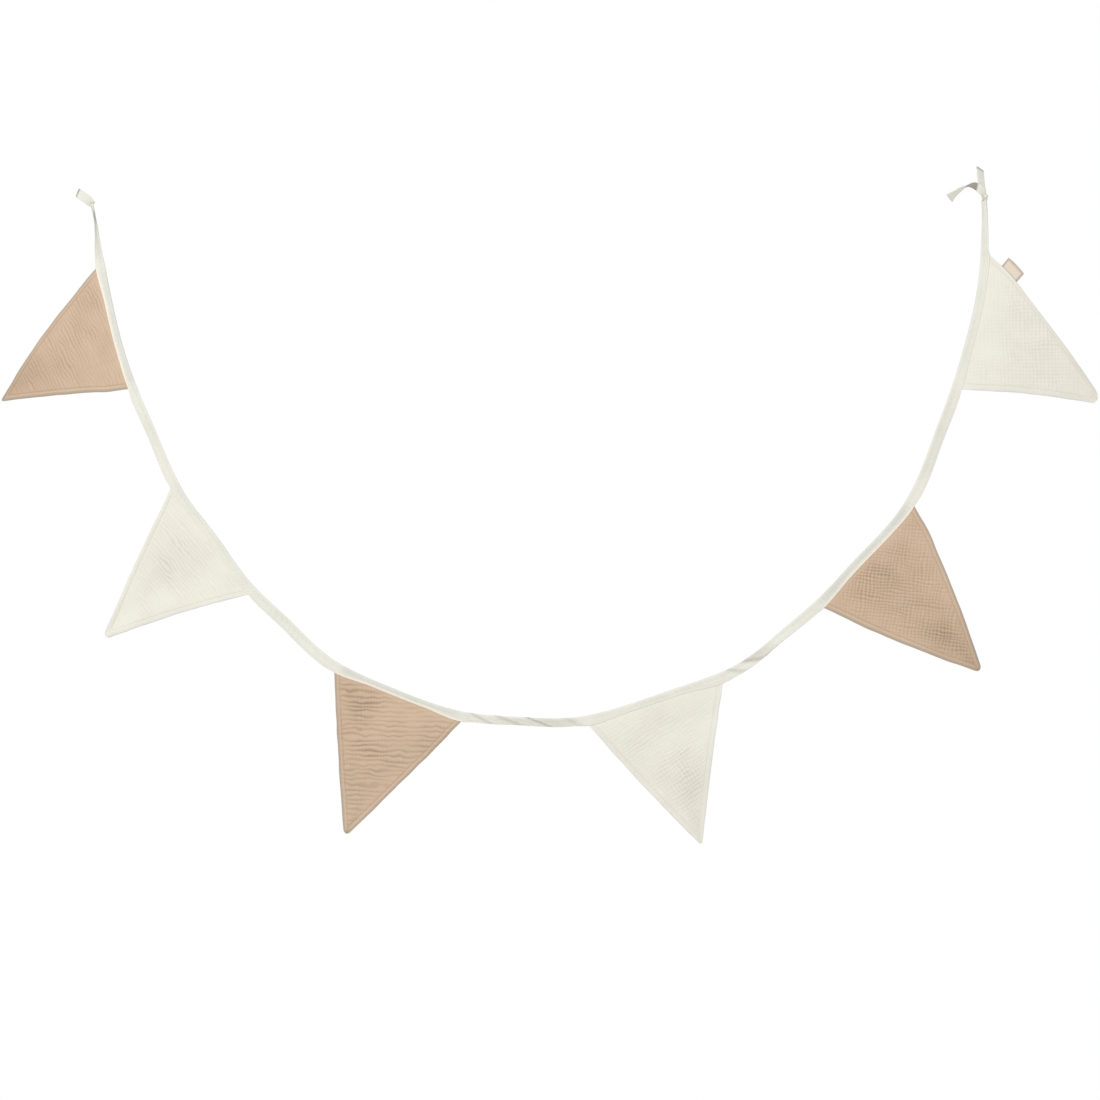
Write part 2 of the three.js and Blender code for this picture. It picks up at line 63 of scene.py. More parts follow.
# The room: a pale floor well below the garland, a white surround, and soft light from the upper left
# with a weaker one from the right and one from behind
FLOOR_CENTRE = (0.57, 0.0, -1.75)
FLOOR_RADIUS = 3.0
FLOOR_CORNERS = 96
FLOOR_ROUGHNESS = 0.9
FLOOR_PALE = (0.86, 0.86, 0.85, 1.0)
SURROUND_WHITE = (1.0, 1.0, 1.0, 1.0)
SURROUND_LIGHT = 0.605
# name, place, size and power
SOFT_LIGHTS = [
    ("key", (-0.85, -2.2, 1.35), 1.6, 44.5),
    ("fill", (2.4, -2.1, 0.1), 1.8, 15.5),
    ("rear", (0.9, 2.6, 0.9), 2.0, 40.0),
]

bpy.ops.object.select_all(action="DESELECT")
bpy.ops.mesh.primitive_circle_add(
    vertices=FLOOR_CORNERS, radius=FLOOR_RADIUS, fill_type="NGON", location=FLOOR_CENTRE
)
bpy.ops.object.transform_apply(location=True)
floor = bpy.context.object
floor.name = "floor"
floor_paint = bpy.data.materials.new("pale_floor")
floor_paint.use_nodes = True
floor_shader = floor_paint.node_tree.nodes["Principled BSDF"]
floor_shader.inputs["Base Color"].default_value = FLOOR_PALE
floor_shader.inputs["Roughness"].default_value = FLOOR_ROUGHNESS
floor.data.materials.append(floor_paint)

surround = bpy.data.worlds.new("white_surround")
bpy.context.scene.world = surround
surround.use_nodes = True
nodes = surround.node_tree.nodes
links = surround.node_tree.links
nodes["Background"].inputs["Color"].default_value = SURROUND_WHITE
nodes["Background"].inputs["Strength"].default_value = SURROUND_LIGHT
seen = nodes.new("ShaderNodeBackground")
seen.inputs["Color"].default_value = SURROUND_WHITE
path = nodes.new("ShaderNodeLightPath")
choose = nodes.new("ShaderNodeMixShader")
links.new(path.outputs["Is Camera Ray"], choose.inputs[0])
links.new(nodes["Background"].outputs[0], choose.inputs[1])
links.new(seen.outputs[0], choose.inputs[2])
links.new(choose.outputs[0], nodes["World Output"].inputs["Surface"])

for light_name, place, size, power in SOFT_LIGHTS:
    bpy.ops.object.light_add(type="AREA", location=place)
    lamp = bpy.context.object
    lamp.name = light_name + "_light"
    lamp.data.size = size
    lamp.data.energy = power
    lamp.rotation_euler = (Vector(CAMERA_AIM) - Vector(place)).to_track_quat("-Z", "Y").to_euler()

bpy.context.scene.view_settings.view_transform = "Standard"

# The binding tape: one long bias-cut cotton strip, pressed in half over the top edges of all the
# pennants and topstitched near its open edge. It hangs in a chain of shallow arcs, two to a stretch,
# and each stretch rises a little between the corners that the pennants pull down.
TAPE_WIDTH = 0.0128
TAPE_THICKNESS = 0.002
TAPE_OVER_PENNANT = 0.0038
TAPE_START = (0.0012, -0.0023)
TAPE_HEADING = -73.6
KNOT_PINCH_WIDTH = 0.0078
KNOT_PINCH_THICKNESS = 0.003
KNOT_PINCH_LENGTH = 0.055
CORNER_EASE = 0.3
GAP_EASE = 0.12
WELT_TAPER = (0.001, 0.014)
# stretch, length, bend of its two halves, rise, roll, and width at its first corner, middle and last corner
TAPE_RUN = [
    ("left_end", 0.082, -4.9, 0.78, 0.0, 64, None, 0.012, None),
    ("pennant_1", 0.158, 2.89, 8.0, 0.0, 0, 0.0123, 0.0098, 0.011),
    ("gap_1_2", 0.1345, 0.93, 4.85, 0.0015, 12, None, TAPE_WIDTH, None),
    ("pennant_2", 0.1605, 8.86, 7.03, 0.0048, 0, 0.0118, 0.0098, 0.0124),
    ("gap_2_3", 0.1385, 0.04, 15.04, 0.0026, -6, None, 0.0133, None),
    ("pennant_3", 0.1585, 8.21, 10.54, 0.0022, 0, 0.0124, 0.008, 0.012),
    ("gap_3_4", 0.145, 7.56, 14.4, 0.0024, 26, None, 0.0102, None),
    ("pennant_4", 0.1585, 8.22, 2.12, 0.0017, 0, 0.0121, 0.0088, 0.0128),
    ("gap_4_5", 0.14, 20.03, 1.25, 0.0017, -26, None, 0.0118, None),
    ("pennant_5", 0.153, 2.52, 13.56, 0.003, 0, 0.0126, 0.0102, 0.012),
    ("gap_5_6", 0.144, 11.37, 0.85, 0.0016, 20, None, TAPE_WIDTH, None),
    ("pennant_6", 0.16, 4.44, 10.37, 0.0002, 0, 0.012, 0.0098, 0.0104),
    ("right_end", 0.065, 0.4, 5.2, 0.0, -50, None, 0.0086, None),
]


def ease(value, low, high):
    # 0 below `low`, 1 above `high`, and a smooth S between them
    share = np.clip((value - low) / (high - low), 0.0, 1.0)
    return share * share * (3.0 - 2.0 * share)


def lay_out_arcs():
    # Each arc's start along the tape, its first point, its heading there and its curve
    arcs = []
    x, z = TAPE_START
    heading = math.radians(TAPE_HEADING)
    start = 0.0
    for _, length, first_bend, last_bend, *_ in TAPE_RUN:
        half = length / 2
        for bend in (math.radians(first_bend), math.radians(last_bend)):
            arcs.append((start, x, z, heading, bend / half))
            x += (math.sin(heading + bend) - math.sin(heading)) * half / bend
            z -= (math.cos(heading + bend) - math.cos(heading)) * half / bend
            heading += bend
            start += half
    return np.array(arcs), start


ARCS, TAPE_LENGTH = lay_out_arcs()
STRETCHES, lengths, _, _, rises, rolls, first_widths, middle_widths, last_widths = zip(*TAPE_RUN)
STRETCH_LENGTH = np.array(lengths)
STRETCH_START = np.concatenate([[0.0], np.cumsum(STRETCH_LENGTH)[:-1]])
STRETCH_RISE = np.array(rises)
STRETCH_ROLL = np.radians(rolls)
HOLDS_PENNANT = np.array([name.startswith("pennant") for name in STRETCHES])
# a free stretch has its neighbour's width at the corner that they share
width_before = (TAPE_WIDTH,) + last_widths[:-1]
width_after = first_widths[1:] + (TAPE_WIDTH,)
FIRST_WIDTH = np.array([own or beside for own, beside in zip(first_widths, width_before)])
MIDDLE_WIDTH = np.array(middle_widths)
LAST_WIDTH = np.array([own or beside for own, beside in zip(last_widths, width_after)])


def stretch_at(s):
    # Which stretch of the tape a distance along it falls in
    return np.searchsorted(STRETCH_START, np.clip(s, 0.0, TAPE_LENGTH), side="right") - 1


def fold_line(s):
    # Where the fold lies in the front view, and its heading; past the tape's ends it runs straight on
    inside = np.clip(s, 0.0, TAPE_LENGTH)
    arc = ARCS[np.searchsorted(ARCS[:, 0], inside, side="right") - 1]
    begin, x, z, heading, curve = np.moveaxis(arc, -1, 0)
    now = heading + (inside - begin) * curve
    k = stretch_at(s)
    up = STRETCH_RISE[k] * np.sin(np.pi * (inside - STRETCH_START[k]) / STRETCH_LENGTH[k]) ** 2
    past = s - inside
    x = x + (np.sin(now) - np.sin(heading)) / curve + past * np.cos(now) - up * np.sin(now)
    z = z - (np.cos(now) - np.cos(heading)) / curve + past * np.sin(now) + up * np.cos(now)
    return x, z, now


def tape_form(s):
    # Width, thickness and roll of the folded tape at each distance along it
    k = stretch_at(s)
    share = np.clip((s - STRETCH_START[k]) / STRETCH_LENGTH[k], 0.0, 1.0)
    corner = np.where(share < 0.5, FIRST_WIDTH[k], LAST_WIDTH[k])
    reach = np.where(HOLDS_PENNANT[k], CORNER_EASE, GAP_EASE)
    width = corner + (MIDDLE_WIDTH[k] - corner) * ease(np.minimum(share, 1.0 - share) / reach, 0.0, 1.0)
    # the end stretches are rolled most at their knots, the others in their middle
    last = len(STRETCHES) - 1
    roll = STRETCH_ROLL[k] * np.sin(np.pi * share) ** 2
    roll = np.where(k == 0, STRETCH_ROLL[0] * (1.0 - share**2), roll)
    roll = np.where(k == last, STRETCH_ROLL[last] * (1.0 - (1.0 - share) ** 2), roll)
    before = np.where(k == 0, np.inf, s - STRETCH_START[k])
    after = np.where(k == last, np.inf, STRETCH_START[k] + STRETCH_LENGTH[k] - s)
    thin = np.where(HOLDS_PENNANT[k], 0.0, ease(np.minimum(before, after), *WELT_TAPER))
    thickness = TAPE_OVER_PENNANT + (TAPE_THICKNESS - TAPE_OVER_PENNANT) * thin
    pinch = 1.0 - ease(np.minimum(s, TAPE_LENGTH - s), 0.0, KNOT_PINCH_LENGTH)
    width = width + (KNOT_PINCH_WIDTH - width) * pinch
    thickness = thickness + (KNOT_PINCH_THICKNESS - thickness) * pinch
    return width, thickness, roll


def tape_point(s, across, out):
    # A point of the tape: `across` from its fold towards the open edge, `out` through its thickness
    x, z, heading = fold_line(s)
    width, _, roll = tape_form(s)
    along_y = np.sin(roll)
    along_flat = np.cos(roll)
    down_x = np.sin(heading)
    down_z = -np.cos(heading)
    return np.stack(
        [
            x + across * along_flat * down_x - out * along_y * down_x,
            -along_y * width / 2 + across * along_y + out * along_flat,
            z + across * along_flat * down_z - out * along_y * down_z,
        ],
        axis=-1,
    )


LUMP_TABLE = 97


def lumps(x, y, seed):
    # Soft uneven lumps from -1 to 1, about one to each unit of x and of y
    table = np.random.default_rng(seed).uniform(-1.0, 1.0, (LUMP_TABLE, LUMP_TABLE))
    column = np.floor(x).astype(int)
    row = np.floor(y).astype(int)
    right = ease(x - column, 0.0, 1.0)
    up = ease(y - row, 0.0, 1.0)
    here, there = column % LUMP_TABLE, (column + 1) % LUMP_TABLE
    low, high = row % LUMP_TABLE, (row + 1) % LUMP_TABLE
    lower = table[here, low] * (1.0 - right) + table[there, low] * right
    upper = table[here, high] * (1.0 - right) + table[there, high] * right
    return lower * (1.0 - up) + upper * up


# One leaf of the folded strip from its fold to its open edge: a place in from the fold, between the two,
# or in from the open edge, with its share of the half thickness. The dip is the row of topstitching.
LEAF_THICKNESS = 0.0008
TAPE_STITCH_INSET = 0.0022
FOLD_ZONE = 0.0032
EDGE_ZONE = 0.0034
LEAF_PROFILE = [
    ("fold", 0.0, 0.0),
    ("fold", 0.0002, 0.42),
    ("fold", 0.0007, 0.72),
    ("fold", 0.0016, 0.93),
    ("fold", FOLD_ZONE, 1.03),
    ("middle", 0.33, 1.06),
    ("middle", 0.67, 1.0),
    ("open", EDGE_ZONE, 0.95),
    ("open", 0.0028, 0.87),
    ("open", TAPE_STITCH_INSET, 0.76),
    ("open", 0.0016, 0.8),
    ("open", 0.0009, 0.8),
    ("open", 0.0004, 0.74),
    ("open", 0.0, 0.54),
]


def leaf_places(width, half):
    # Where one leaf's outside lies at each station, from its fold to its open edge
    leaf_across = []
    leaf_out = []
    for zone, inset, full in LEAF_PROFILE:
        between = FOLD_ZONE + (width - EDGE_ZONE - FOLD_ZONE) * inset
        leaf_across.append({"fold": inset + 0.0 * width, "middle": between, "open": width - inset}[zone])
        leaf_out.append(full * half)
    return np.stack(leaf_across, axis=1), np.stack(leaf_out, axis=1)


def folded_over(across, out, leaf_thickness):
    # Places round a folded strip at each station, from the back leaf's open edge round the fold to the
    # front leaf's, and back along the inside: across, out, which leaf it is on, and whether it is outside
    inner_across = leaf_thickness + across * (1.0 - leaf_thickness / across[:, -1:])
    # inside, each leaf stays a fifth of its thickness off the middle, so that the two never touch
    inner_out = np.maximum(out - leaf_thickness, leaf_thickness / 5)
    inner_out[:, 0] = 0.0
    ring_across = np.hstack([across[:, :0:-1], across, inner_across[:, ::-1], inner_across[:, 1:]])
    ring_out = np.hstack([out[:, :0:-1], -out, -inner_out[:, ::-1], inner_out[:, 1:]])
    count = across.shape[1]
    leaf = np.concatenate([np.ones(count - 1), -np.ones(2 * count), np.ones(count - 1)])
    outside = np.concatenate([np.ones(2 * count - 1), np.zeros(2 * count - 1)])
    return ring_across, ring_out, leaf, outside


def skin_of_rings(rings):
    # Faces over a row of folded rings, with both ends closed between the outside and the inside
    stations, around = rings.shape[:2]
    ring = np.arange(around)
    following = np.roll(ring, -1)
    starts = np.arange(stations - 1)[:, None] * around
    sides = np.stack(
        [starts + ring, starts + following, starts + following + around, starts + ring + around], axis=-1
    )
    cap = np.arange(around // 2 - 1)
    first = np.stack([cap, around - 1 - cap, around - 2 - cap, cap + 1], -1)
    last = first[:, ::-1] + (stations - 1) * around
    return np.vstack([sides.reshape(-1, 4), first, last])


def cloth_piece(name, points, faces, flat, marks, material):
    # A mesh object from its points and faces, with the cloth's flat places as its UV map
    faces = np.asarray(faces)
    fans = np.vstack([faces[:, [0, k, k + 1]] for k in range(1, faces.shape[1] - 1)])
    a, b, c = (points[fans[:, k]] for k in range(3))
    if np.einsum("ij,ij->i", a, np.cross(b, c)).sum() < 0.0:
        faces = faces[:, ::-1]
    mesh = bpy.data.meshes.new(name)
    mesh.from_pydata(points.tolist(), [], faces.tolist())
    mesh.validate()
    uv = mesh.uv_layers.new(name="flat")
    corner = np.empty(len(mesh.loops), dtype=np.int32)
    mesh.loops.foreach_get("vertex_index", corner)
    uv.data.foreach_set("uv", flat[corner].astype(np.float32).ravel())
    for mark, values in marks.items():
        layer = mesh.attributes.new(mark, "FLOAT", "POINT")
        layer.data.foreach_set("value", values.astype(np.float32))
    mesh.shade_smooth()
    mesh.materials.append(material)
    piece = bpy.data.objects.new(name, mesh)
    bpy.context.collection.objects.link(piece)
    return piece


CLOTH_ROUGHNESS = 0.92
CLOTH_SPECULAR = 0.18
CLOTH_SHEEN_ROUGHNESS = 0.55
CLOUDY_SCALE = 26.0
CLOUDY_DETAIL = 3.0
CLOUDY_SHADE = 0.36
FUZZ_DETAIL = 2.0
FUZZ_SHADE = 0.18
FUZZ_HEIGHT = 1.2
WEAVE_SHADE = 0.06
# the sockets of a colour Mix node: its share, its two colours, and its result
MIX_SHARE, MIX_FIRST, MIX_SECOND, MIX_RESULT = 0, 6, 7, 2


def woven_paint(name, pale, deep, pitch, slant, relief, sheen, grain, tones=()):
    # Woven cloth: plain weave on the flat places, mixed towards the deep colour by painted shade where its
    # hollow mark is high, and a little uneven all over. Each tone takes the pale one's place where the
    # piece's own mark of that name is 1.
    material = bpy.data.materials.new(name)
    material.use_nodes = True
    tree = material.node_tree
    shader = tree.nodes["Principled BSDF"]
    shader.inputs["Roughness"].default_value = CLOTH_ROUGHNESS
    shader.inputs["Specular IOR Level"].default_value = CLOTH_SPECULAR
    shader.inputs["Sheen Weight"].default_value = sheen
    shader.inputs["Sheen Roughness"].default_value = CLOTH_SHEEN_ROUGHNESS

    def node(kind, inputs=(), **settings):
        made = tree.nodes.new("ShaderNode" + kind)
        for setting, value in settings.items():
            setattr(made, setting, value)
        for socket, value in dict(inputs).items():
            if isinstance(value, bpy.types.NodeSocket):
                tree.links.new(value, made.inputs[socket])
            else:
                made.inputs[socket].default_value = value
        return made

    def math_node(operation, *values):
        return node("Math", dict(enumerate(values)), operation=operation).outputs[0]

    def uneven(texture, strength):
        return math_node("MULTIPLY_ADD", texture.outputs["Fac"], strength, -strength / 2)

    flat = node("UVMap", uv_map="flat")
    turned = node("Mapping", {"Vector": flat.outputs[0], "Rotation": (0.0, 0.0, math.radians(slant))})
    split = node("SeparateXYZ", {0: turned.outputs[0]})
    warp = math_node("SINE", math_node("MULTIPLY", split.outputs[0], 2.0 * math.pi / pitch))
    weft = math_node("SINE", math_node("MULTIPLY", split.outputs[1], 2.0 * math.pi / pitch))
    weave = math_node("MULTIPLY", warp, weft)
    place = node("TexCoord").outputs["Object"]
    cloudy = node("TexNoise", {"Vector": place, "Scale": CLOUDY_SCALE, "Detail": CLOUDY_DETAIL})
    fuzz = node("TexNoise", {"Vector": place, "Scale": grain, "Detail": FUZZ_DETAIL})
    hollow = node("Attribute", attribute_name="hollow")
    depth = math_node("ADD", hollow.outputs["Fac"], uneven(cloudy, CLOUDY_SHADE))
    depth = math_node("ADD", depth, uneven(fuzz, FUZZ_SHADE))
    depth = math_node("ADD", depth, math_node("MULTIPLY", weave, -WEAVE_SHADE))
    for mark, tone in tones:
        share = node("Attribute", attribute_name=mark).outputs["Fac"]
        toned = node("Mix", {MIX_SHARE: share, MIX_FIRST: pale, MIX_SECOND: tone}, data_type="RGBA")
        pale = toned.outputs[MIX_RESULT]
    mixed = node("Mix", {MIX_FIRST: pale, MIX_SECOND: deep}, data_type="RGBA", clamp_factor=True)
    tree.links.new(depth, mixed.inputs[MIX_SHARE])
    tree.links.new(mixed.outputs[MIX_RESULT], shader.inputs["Base Color"])
    height = math_node("ADD", weave, math_node("MULTIPLY", fuzz.outputs["Fac"], FUZZ_HEIGHT))
    bump = node("Bump", {"Strength": relief, "Distance": pitch / 4.0, "Height": height})
    tree.links.new(bump.outputs[0], shader.inputs["Normal"])
    return material


# The tape's own relief: drag lines that the bias cloth gets along its topstitching and the diagonal creases
# where the free stretches twist, both with painted shade, and a band of painted shade beside its fold where
# it looks pressed in
TAPE_STATION = 0.002
DRAG_PITCH = 0.0072
DRAG_DEPTH = 0.00016
DRAG_SHADE = 0.10
DRAG_SLANT = 0.7
DRAG_FROM_FOLD = (0.001, 0.004)
DRAG_FROM_EDGE = (TAPE_STITCH_INSET, 0.0042)
DRAG_BEND = 0.8
DRAG_BEND_SIZE = (0.021, 0.02)
DRAG_PATCH_SIZE = (0.034, 0.05)
# the band of painted shade beside the fold: its place, half width and strength
VALLEY_AT = 0.0036
VALLEY_HALF_WIDTH = 0.0019
VALLEY_SHADE = 0.12
# a crease has a ridge beside it: its share of the depth, and its place in half widths
CREASE_RIDGE = 0.6
CREASE_RIDGE_AT = 1.4
# place on the fold, place on the open edge, half width, depth and painted shade; rows with no depth are
# painted shade alone
TAPE_CREASES_AND_SHADE = [
    (0.016, 0.022, 0.008, 0.0004, 0.9),
    (0.026, 0.040, 0.012, 0.0003, 0.32),
    (0.044, 0.052, 0.030, 0.0, 0.2),
    (0.842, 0.866, 0.0042, 0.0008, 0.34),
    (0.872, 0.898, 0.0060, 0.0007, 0.30),
    (0.908, 0.934, 0.0040, 0.0009, 0.42),
    (0.930, 0.944, 0.0160, 0.0, 0.16),
    (0.952, 0.968, 0.0050, 0.0004, 0.24),
    (1.146, 1.162, 0.0036, 0.0007, 0.30),
    (1.166, 1.186, 0.0040, 0.0008, 0.45),
    (1.180, 1.196, 0.0150, 0.0, 0.22),
]
# The tape's colours: its own pale one, the deep one that painted shade mixes in, a greyer band over the
# beige pennants, the painted highlight along its open edge, and the dark painted shadow on a turned-under
# loose end
TAPE_PALE = (0.78, 0.77, 0.693, 1.0)
TAPE_DEEP = (0.365, 0.36, 0.285, 1.0)
TAPE_BAND = (0.715, 0.705, 0.643, 1.0)
TAPE_LIP_HIGHLIGHT = (0.87, 0.81, 0.70, 1.0)
TAPE_UNDERSIDE_SHADOW = (0.17, 0.13, 0.095, 1.0)
# the painted highlight along the open edge over the pennants: how far in from the edge it reaches, how
# thick the tape must be for it, how far from the knots it starts, and its strength over the ivory pennants
LIP_WIDTH = (0.0026, 0.0036)
LIP_THICKNESS = (0.0026, 0.0037)
LIP_FROM_KNOT = (0.055, 0.07)
IVORY_LIP_HIGHLIGHT = 0.3
BIAS_PITCH = 0.0006
BIAS_SLANT = 45.0
BEIGE_STRETCHES = ["pennant_1", "pennant_3", "pennant_5"]
BAND_RAMP = 0.012
# fine cross ribs where the tape is drawn up over one pennant
RIB_STRETCH = "pennant_5"
RIB_PITCH = 0.0034
RIB_DEPTH = 0.00016
RIB_SHADE = 0.2
RIB_EVENNESS = 0.6
RIB_PATCH = 0.01
RIB_BEND = 0.3
RIB_BEND_LENGTH = 0.013


def tape_relief(s, across, width, leaf):
    # How far the leaf stands out of its even shape, and how much painted shade it gets in its creases, drag
    # lines and ribs and beside its fold
    inside = ease(across, *DRAG_FROM_FOLD) * ease(width - across, *DRAG_FROM_EDGE)
    bend = lumps(s / DRAG_BEND_SIZE[0], across / DRAG_BEND_SIZE[1], 11)
    drag = np.sin(2.0 * np.pi * ((s + DRAG_SLANT * leaf * across) / DRAG_PITCH + DRAG_BEND * bend))
    uneven = 0.5 + 0.5 * lumps(s / DRAG_PATCH_SIZE[0], across / DRAG_PATCH_SIZE[1] + 3.0, 12)
    raised = DRAG_DEPTH * inside * uneven * drag
    hollow = DRAG_SHADE * inside * uneven * (0.5 - 0.5 * drag)
    on_ribs = stretch_at(s) == STRETCHES.index(RIB_STRETCH)
    ribbed = inside * on_ribs * (RIB_EVENNESS + (1.0 - RIB_EVENNESS) * lumps(s / RIB_PATCH, 0.5, 14))
    rib = np.sin(2.0 * np.pi * (s / RIB_PITCH + RIB_BEND * lumps(s / RIB_BEND_LENGTH, 1.5, 15)))
    raised = raised + RIB_DEPTH * ribbed * rib
    hollow = hollow + RIB_SHADE * ribbed * (0.5 - 0.5 * rib)
    hollow = hollow + VALLEY_SHADE * np.exp(-(((across - VALLEY_AT) / VALLEY_HALF_WIDTH) ** 2))
    for at_fold, at_edge, half, depth, shade in TAPE_CREASES_AND_SHADE:
        off = (s - (at_fold + (at_edge - at_fold) * across / width)) / half
        ridge = CREASE_RIDGE * depth * np.exp(-((off - CREASE_RIDGE_AT) ** 2))
        raised = raised - depth * np.exp(-off * off) + ridge
        hollow = hollow + shade * np.exp(-off * off)
    return raised, hollow


def tape_skin(s, across, out, leaf):
    # A point of the finished tape, and how much painted shade it gets there
    raised, hollow = tape_relief(s, across, tape_form(s)[0], leaf)
    return tape_point(s, across, out + leaf * raised), hollow


tape_paint = woven_paint(
    "ivory_binding",
    TAPE_PALE,
    TAPE_DEEP,
    BIAS_PITCH,
    BIAS_SLANT,
    relief=0.14,
    sheen=0.3,
    grain=1500.0,
    tones=[("band", TAPE_BAND), ("lip", TAPE_LIP_HIGHLIGHT), ("under", TAPE_UNDERSIDE_SHADOW)],
)
station = np.linspace(0.0, TAPE_LENGTH, round(TAPE_LENGTH / TAPE_STATION) + 1)
station_width, station_thickness, _ = tape_form(station)
ring_across, ring_out, ring_leaf, ring_outside = folded_over(
    *leaf_places(station_width, station_thickness / 2), LEAF_THICKNESS
)
ring_s = np.repeat(station[:, None], ring_across.shape[1], axis=1)
ring_points, ring_hollow = tape_skin(ring_s, ring_across, ring_out, ring_leaf[None, :])
past_knots = ease(np.minimum(station, TAPE_LENGTH - station), *LIP_FROM_KNOT)
over_pennant = (ease(station_thickness, *LIP_THICKNESS) * past_knots)[:, None]
to_edge = station_width[:, None] - ring_across
here = stretch_at(station)
beige_here = np.isin(here, [STRETCHES.index(name) for name in BEIGE_STRETCHES])
from_corner = station - STRETCH_START[here]
from_corner = np.minimum(from_corner, STRETCH_LENGTH[here] - from_corner)
# the painted highlight along the open edge, full over the beige pennants and weaker over the ivory ones
lip_highlight_share = np.where(beige_here, 1.0, IVORY_LIP_HIGHLIGHT)[:, None]
ring_lip_highlight = lip_highlight_share * over_pennant * (1.0 - ease(to_edge, *LIP_WIDTH)) * ring_outside
band_share = (beige_here * ease(from_corner, 0.0, BAND_RAMP))[:, None]
ring_band = band_share * over_pennant * ring_outside * (1.0 - ring_lip_highlight)
ring_flat = np.stack([ring_s, ring_across * -ring_leaf[None, :]], axis=-1)
tape = cloth_piece(
    "binding_tape",
    ring_points.reshape(-1, 3),
    skin_of_rings(ring_points),
    ring_flat.reshape(-1, 2),
    {
        "hollow": ring_hollow.ravel(),
        "lip": ring_lip_highlight.ravel(),
        "band": ring_band.ravel(),
        "under": np.zeros(ring_hollow.size),
    },
    tape_paint,
)
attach(tape, "root")
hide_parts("tape")

# The topstitching of the tape: short lockstitches in cream thread that run the whole length of both
# faces just inside the open edge. One stitch is a thin bead of thread, sunk at both ends.
STITCH_PITCH = 0.0031
STITCH_HALF_LENGTH = 0.00125
STITCH_RADIUS = 0.00024
STITCH_SEAT = 0.8
TAPE_PATH_POINTS = 3000
THREAD_CREAM = (0.78, 0.75, 0.66, 1.0)
THREAD_CREAM_DEEP = (0.66, 0.63, 0.55, 1.0)
THREAD_ROUGHNESS = 0.7
THREAD_SHEEN = 0.3
# half a turn of the thread's twist, and what brings a wave texture's scale to it
THREAD_HALF_TWIST = 0.0004
THREAD_BANDS = 6.0

bpy.ops.object.select_all(action="DESELECT")
bpy.ops.mesh.primitive_uv_sphere_add(segments=6, ring_count=4, radius=1.0, rotation=(0.0, math.pi / 2, 0.0))
bpy.ops.object.transform_apply(rotation=True)
bead = bpy.context.object
# its points and faces are put in a fixed order, since the primitive's own order changes from run to run
bead_points = np.array([vertex.co for vertex in bead.data.vertices])
order = np.lexsort(np.round(bead_points, 5).T)
place_in_order = np.argsort(order).tolist()
BEAD_POINTS = bead_points[order]
BEAD_FACES = []
for face in bead.data.polygons:
    corners = [place_in_order[k] for k in face.vertices]
    lowest = corners.index(min(corners))
    BEAD_FACES.append(corners[lowest:] + corners[:lowest])
BEAD_FACES.sort()
bpy.data.objects.remove(bead)


def walked_along(path):
    # The distance along a path to each of its points
    return np.concatenate([[0.0], np.cumsum(np.linalg.norm(np.diff(path, axis=0), axis=1))])


def read_at(places, walked, values):
    # The points or directions of a path at the given distances along it
    return np.stack([np.interp(places, walked, values[:, k]) for k in range(3)], axis=1)


def stitch_run(path, outward):
    # Beads of thread at even steps along a fine path on the cloth, each lying along the path
    walked = walked_along(path)
    middles = np.arange(STITCH_PITCH, walked[-1] - STITCH_PITCH, STITCH_PITCH)
    centre = read_at(middles, walked, path)
    along = read_at(middles + STITCH_HALF_LENGTH, walked, path) - centre
    along /= np.linalg.norm(along, axis=1, keepdims=True)
    out = read_at(middles, walked, outward)
    out -= along * np.einsum("ij,ij->i", along, out)[:, None]
    out /= np.linalg.norm(out, axis=1, keepdims=True)
    side = np.cross(out, along)
    shape = (
        BEAD_POINTS[None, :, 0:1] * along[:, None, :] * STITCH_HALF_LENGTH
        + BEAD_POINTS[None, :, 1:2] * side[:, None, :] * STITCH_RADIUS
        + BEAD_POINTS[None, :, 2:3] * out[:, None, :] * STITCH_RADIUS
    )
    return (shape + centre[:, None, :]).reshape(-1, 3)


def stitching(name, runs, material):
    # One mesh of all the beads of a piece's topstitching
    points = np.vstack(runs)
    copies = len(points) // len(BEAD_POINTS)
    faces = [[k + copy * len(BEAD_POINTS) for k in face] for copy in range(copies) for face in BEAD_FACES]
    mesh = bpy.data.meshes.new(name)
    mesh.from_pydata(points.tolist(), [], faces)
    mesh.shade_smooth()
    mesh.materials.append(material)
    piece = bpy.data.objects.new(name, mesh)
    bpy.context.collection.objects.link(piece)
    return piece


def thread_paint(name, pale, deep):
    # Spun thread: fine light and dark turns with a soft sheen
    material = bpy.data.materials.new(name)
    material.use_nodes = True
    tree = material.node_tree
    shader = tree.nodes["Principled BSDF"]
    shader.inputs["Roughness"].default_value = THREAD_ROUGHNESS
    shader.inputs["Sheen Weight"].default_value = THREAD_SHEEN
    place = tree.nodes.new("ShaderNodeTexCoord")
    turns = tree.nodes.new("ShaderNodeTexWave")
    turns.inputs["Scale"].default_value = 1.0 / THREAD_HALF_TWIST / THREAD_BANDS
    ramp = tree.nodes.new("ShaderNodeValToRGB")
    ramp.color_ramp.elements[0].color = deep
    ramp.color_ramp.elements[1].color = pale
    tree.links.new(place.outputs["Object"], turns.inputs["Vector"])
    tree.links.new(turns.outputs["Fac"], ramp.inputs[0])
    tree.links.new(ramp.outputs[0], shader.inputs["Base Color"])
    return material


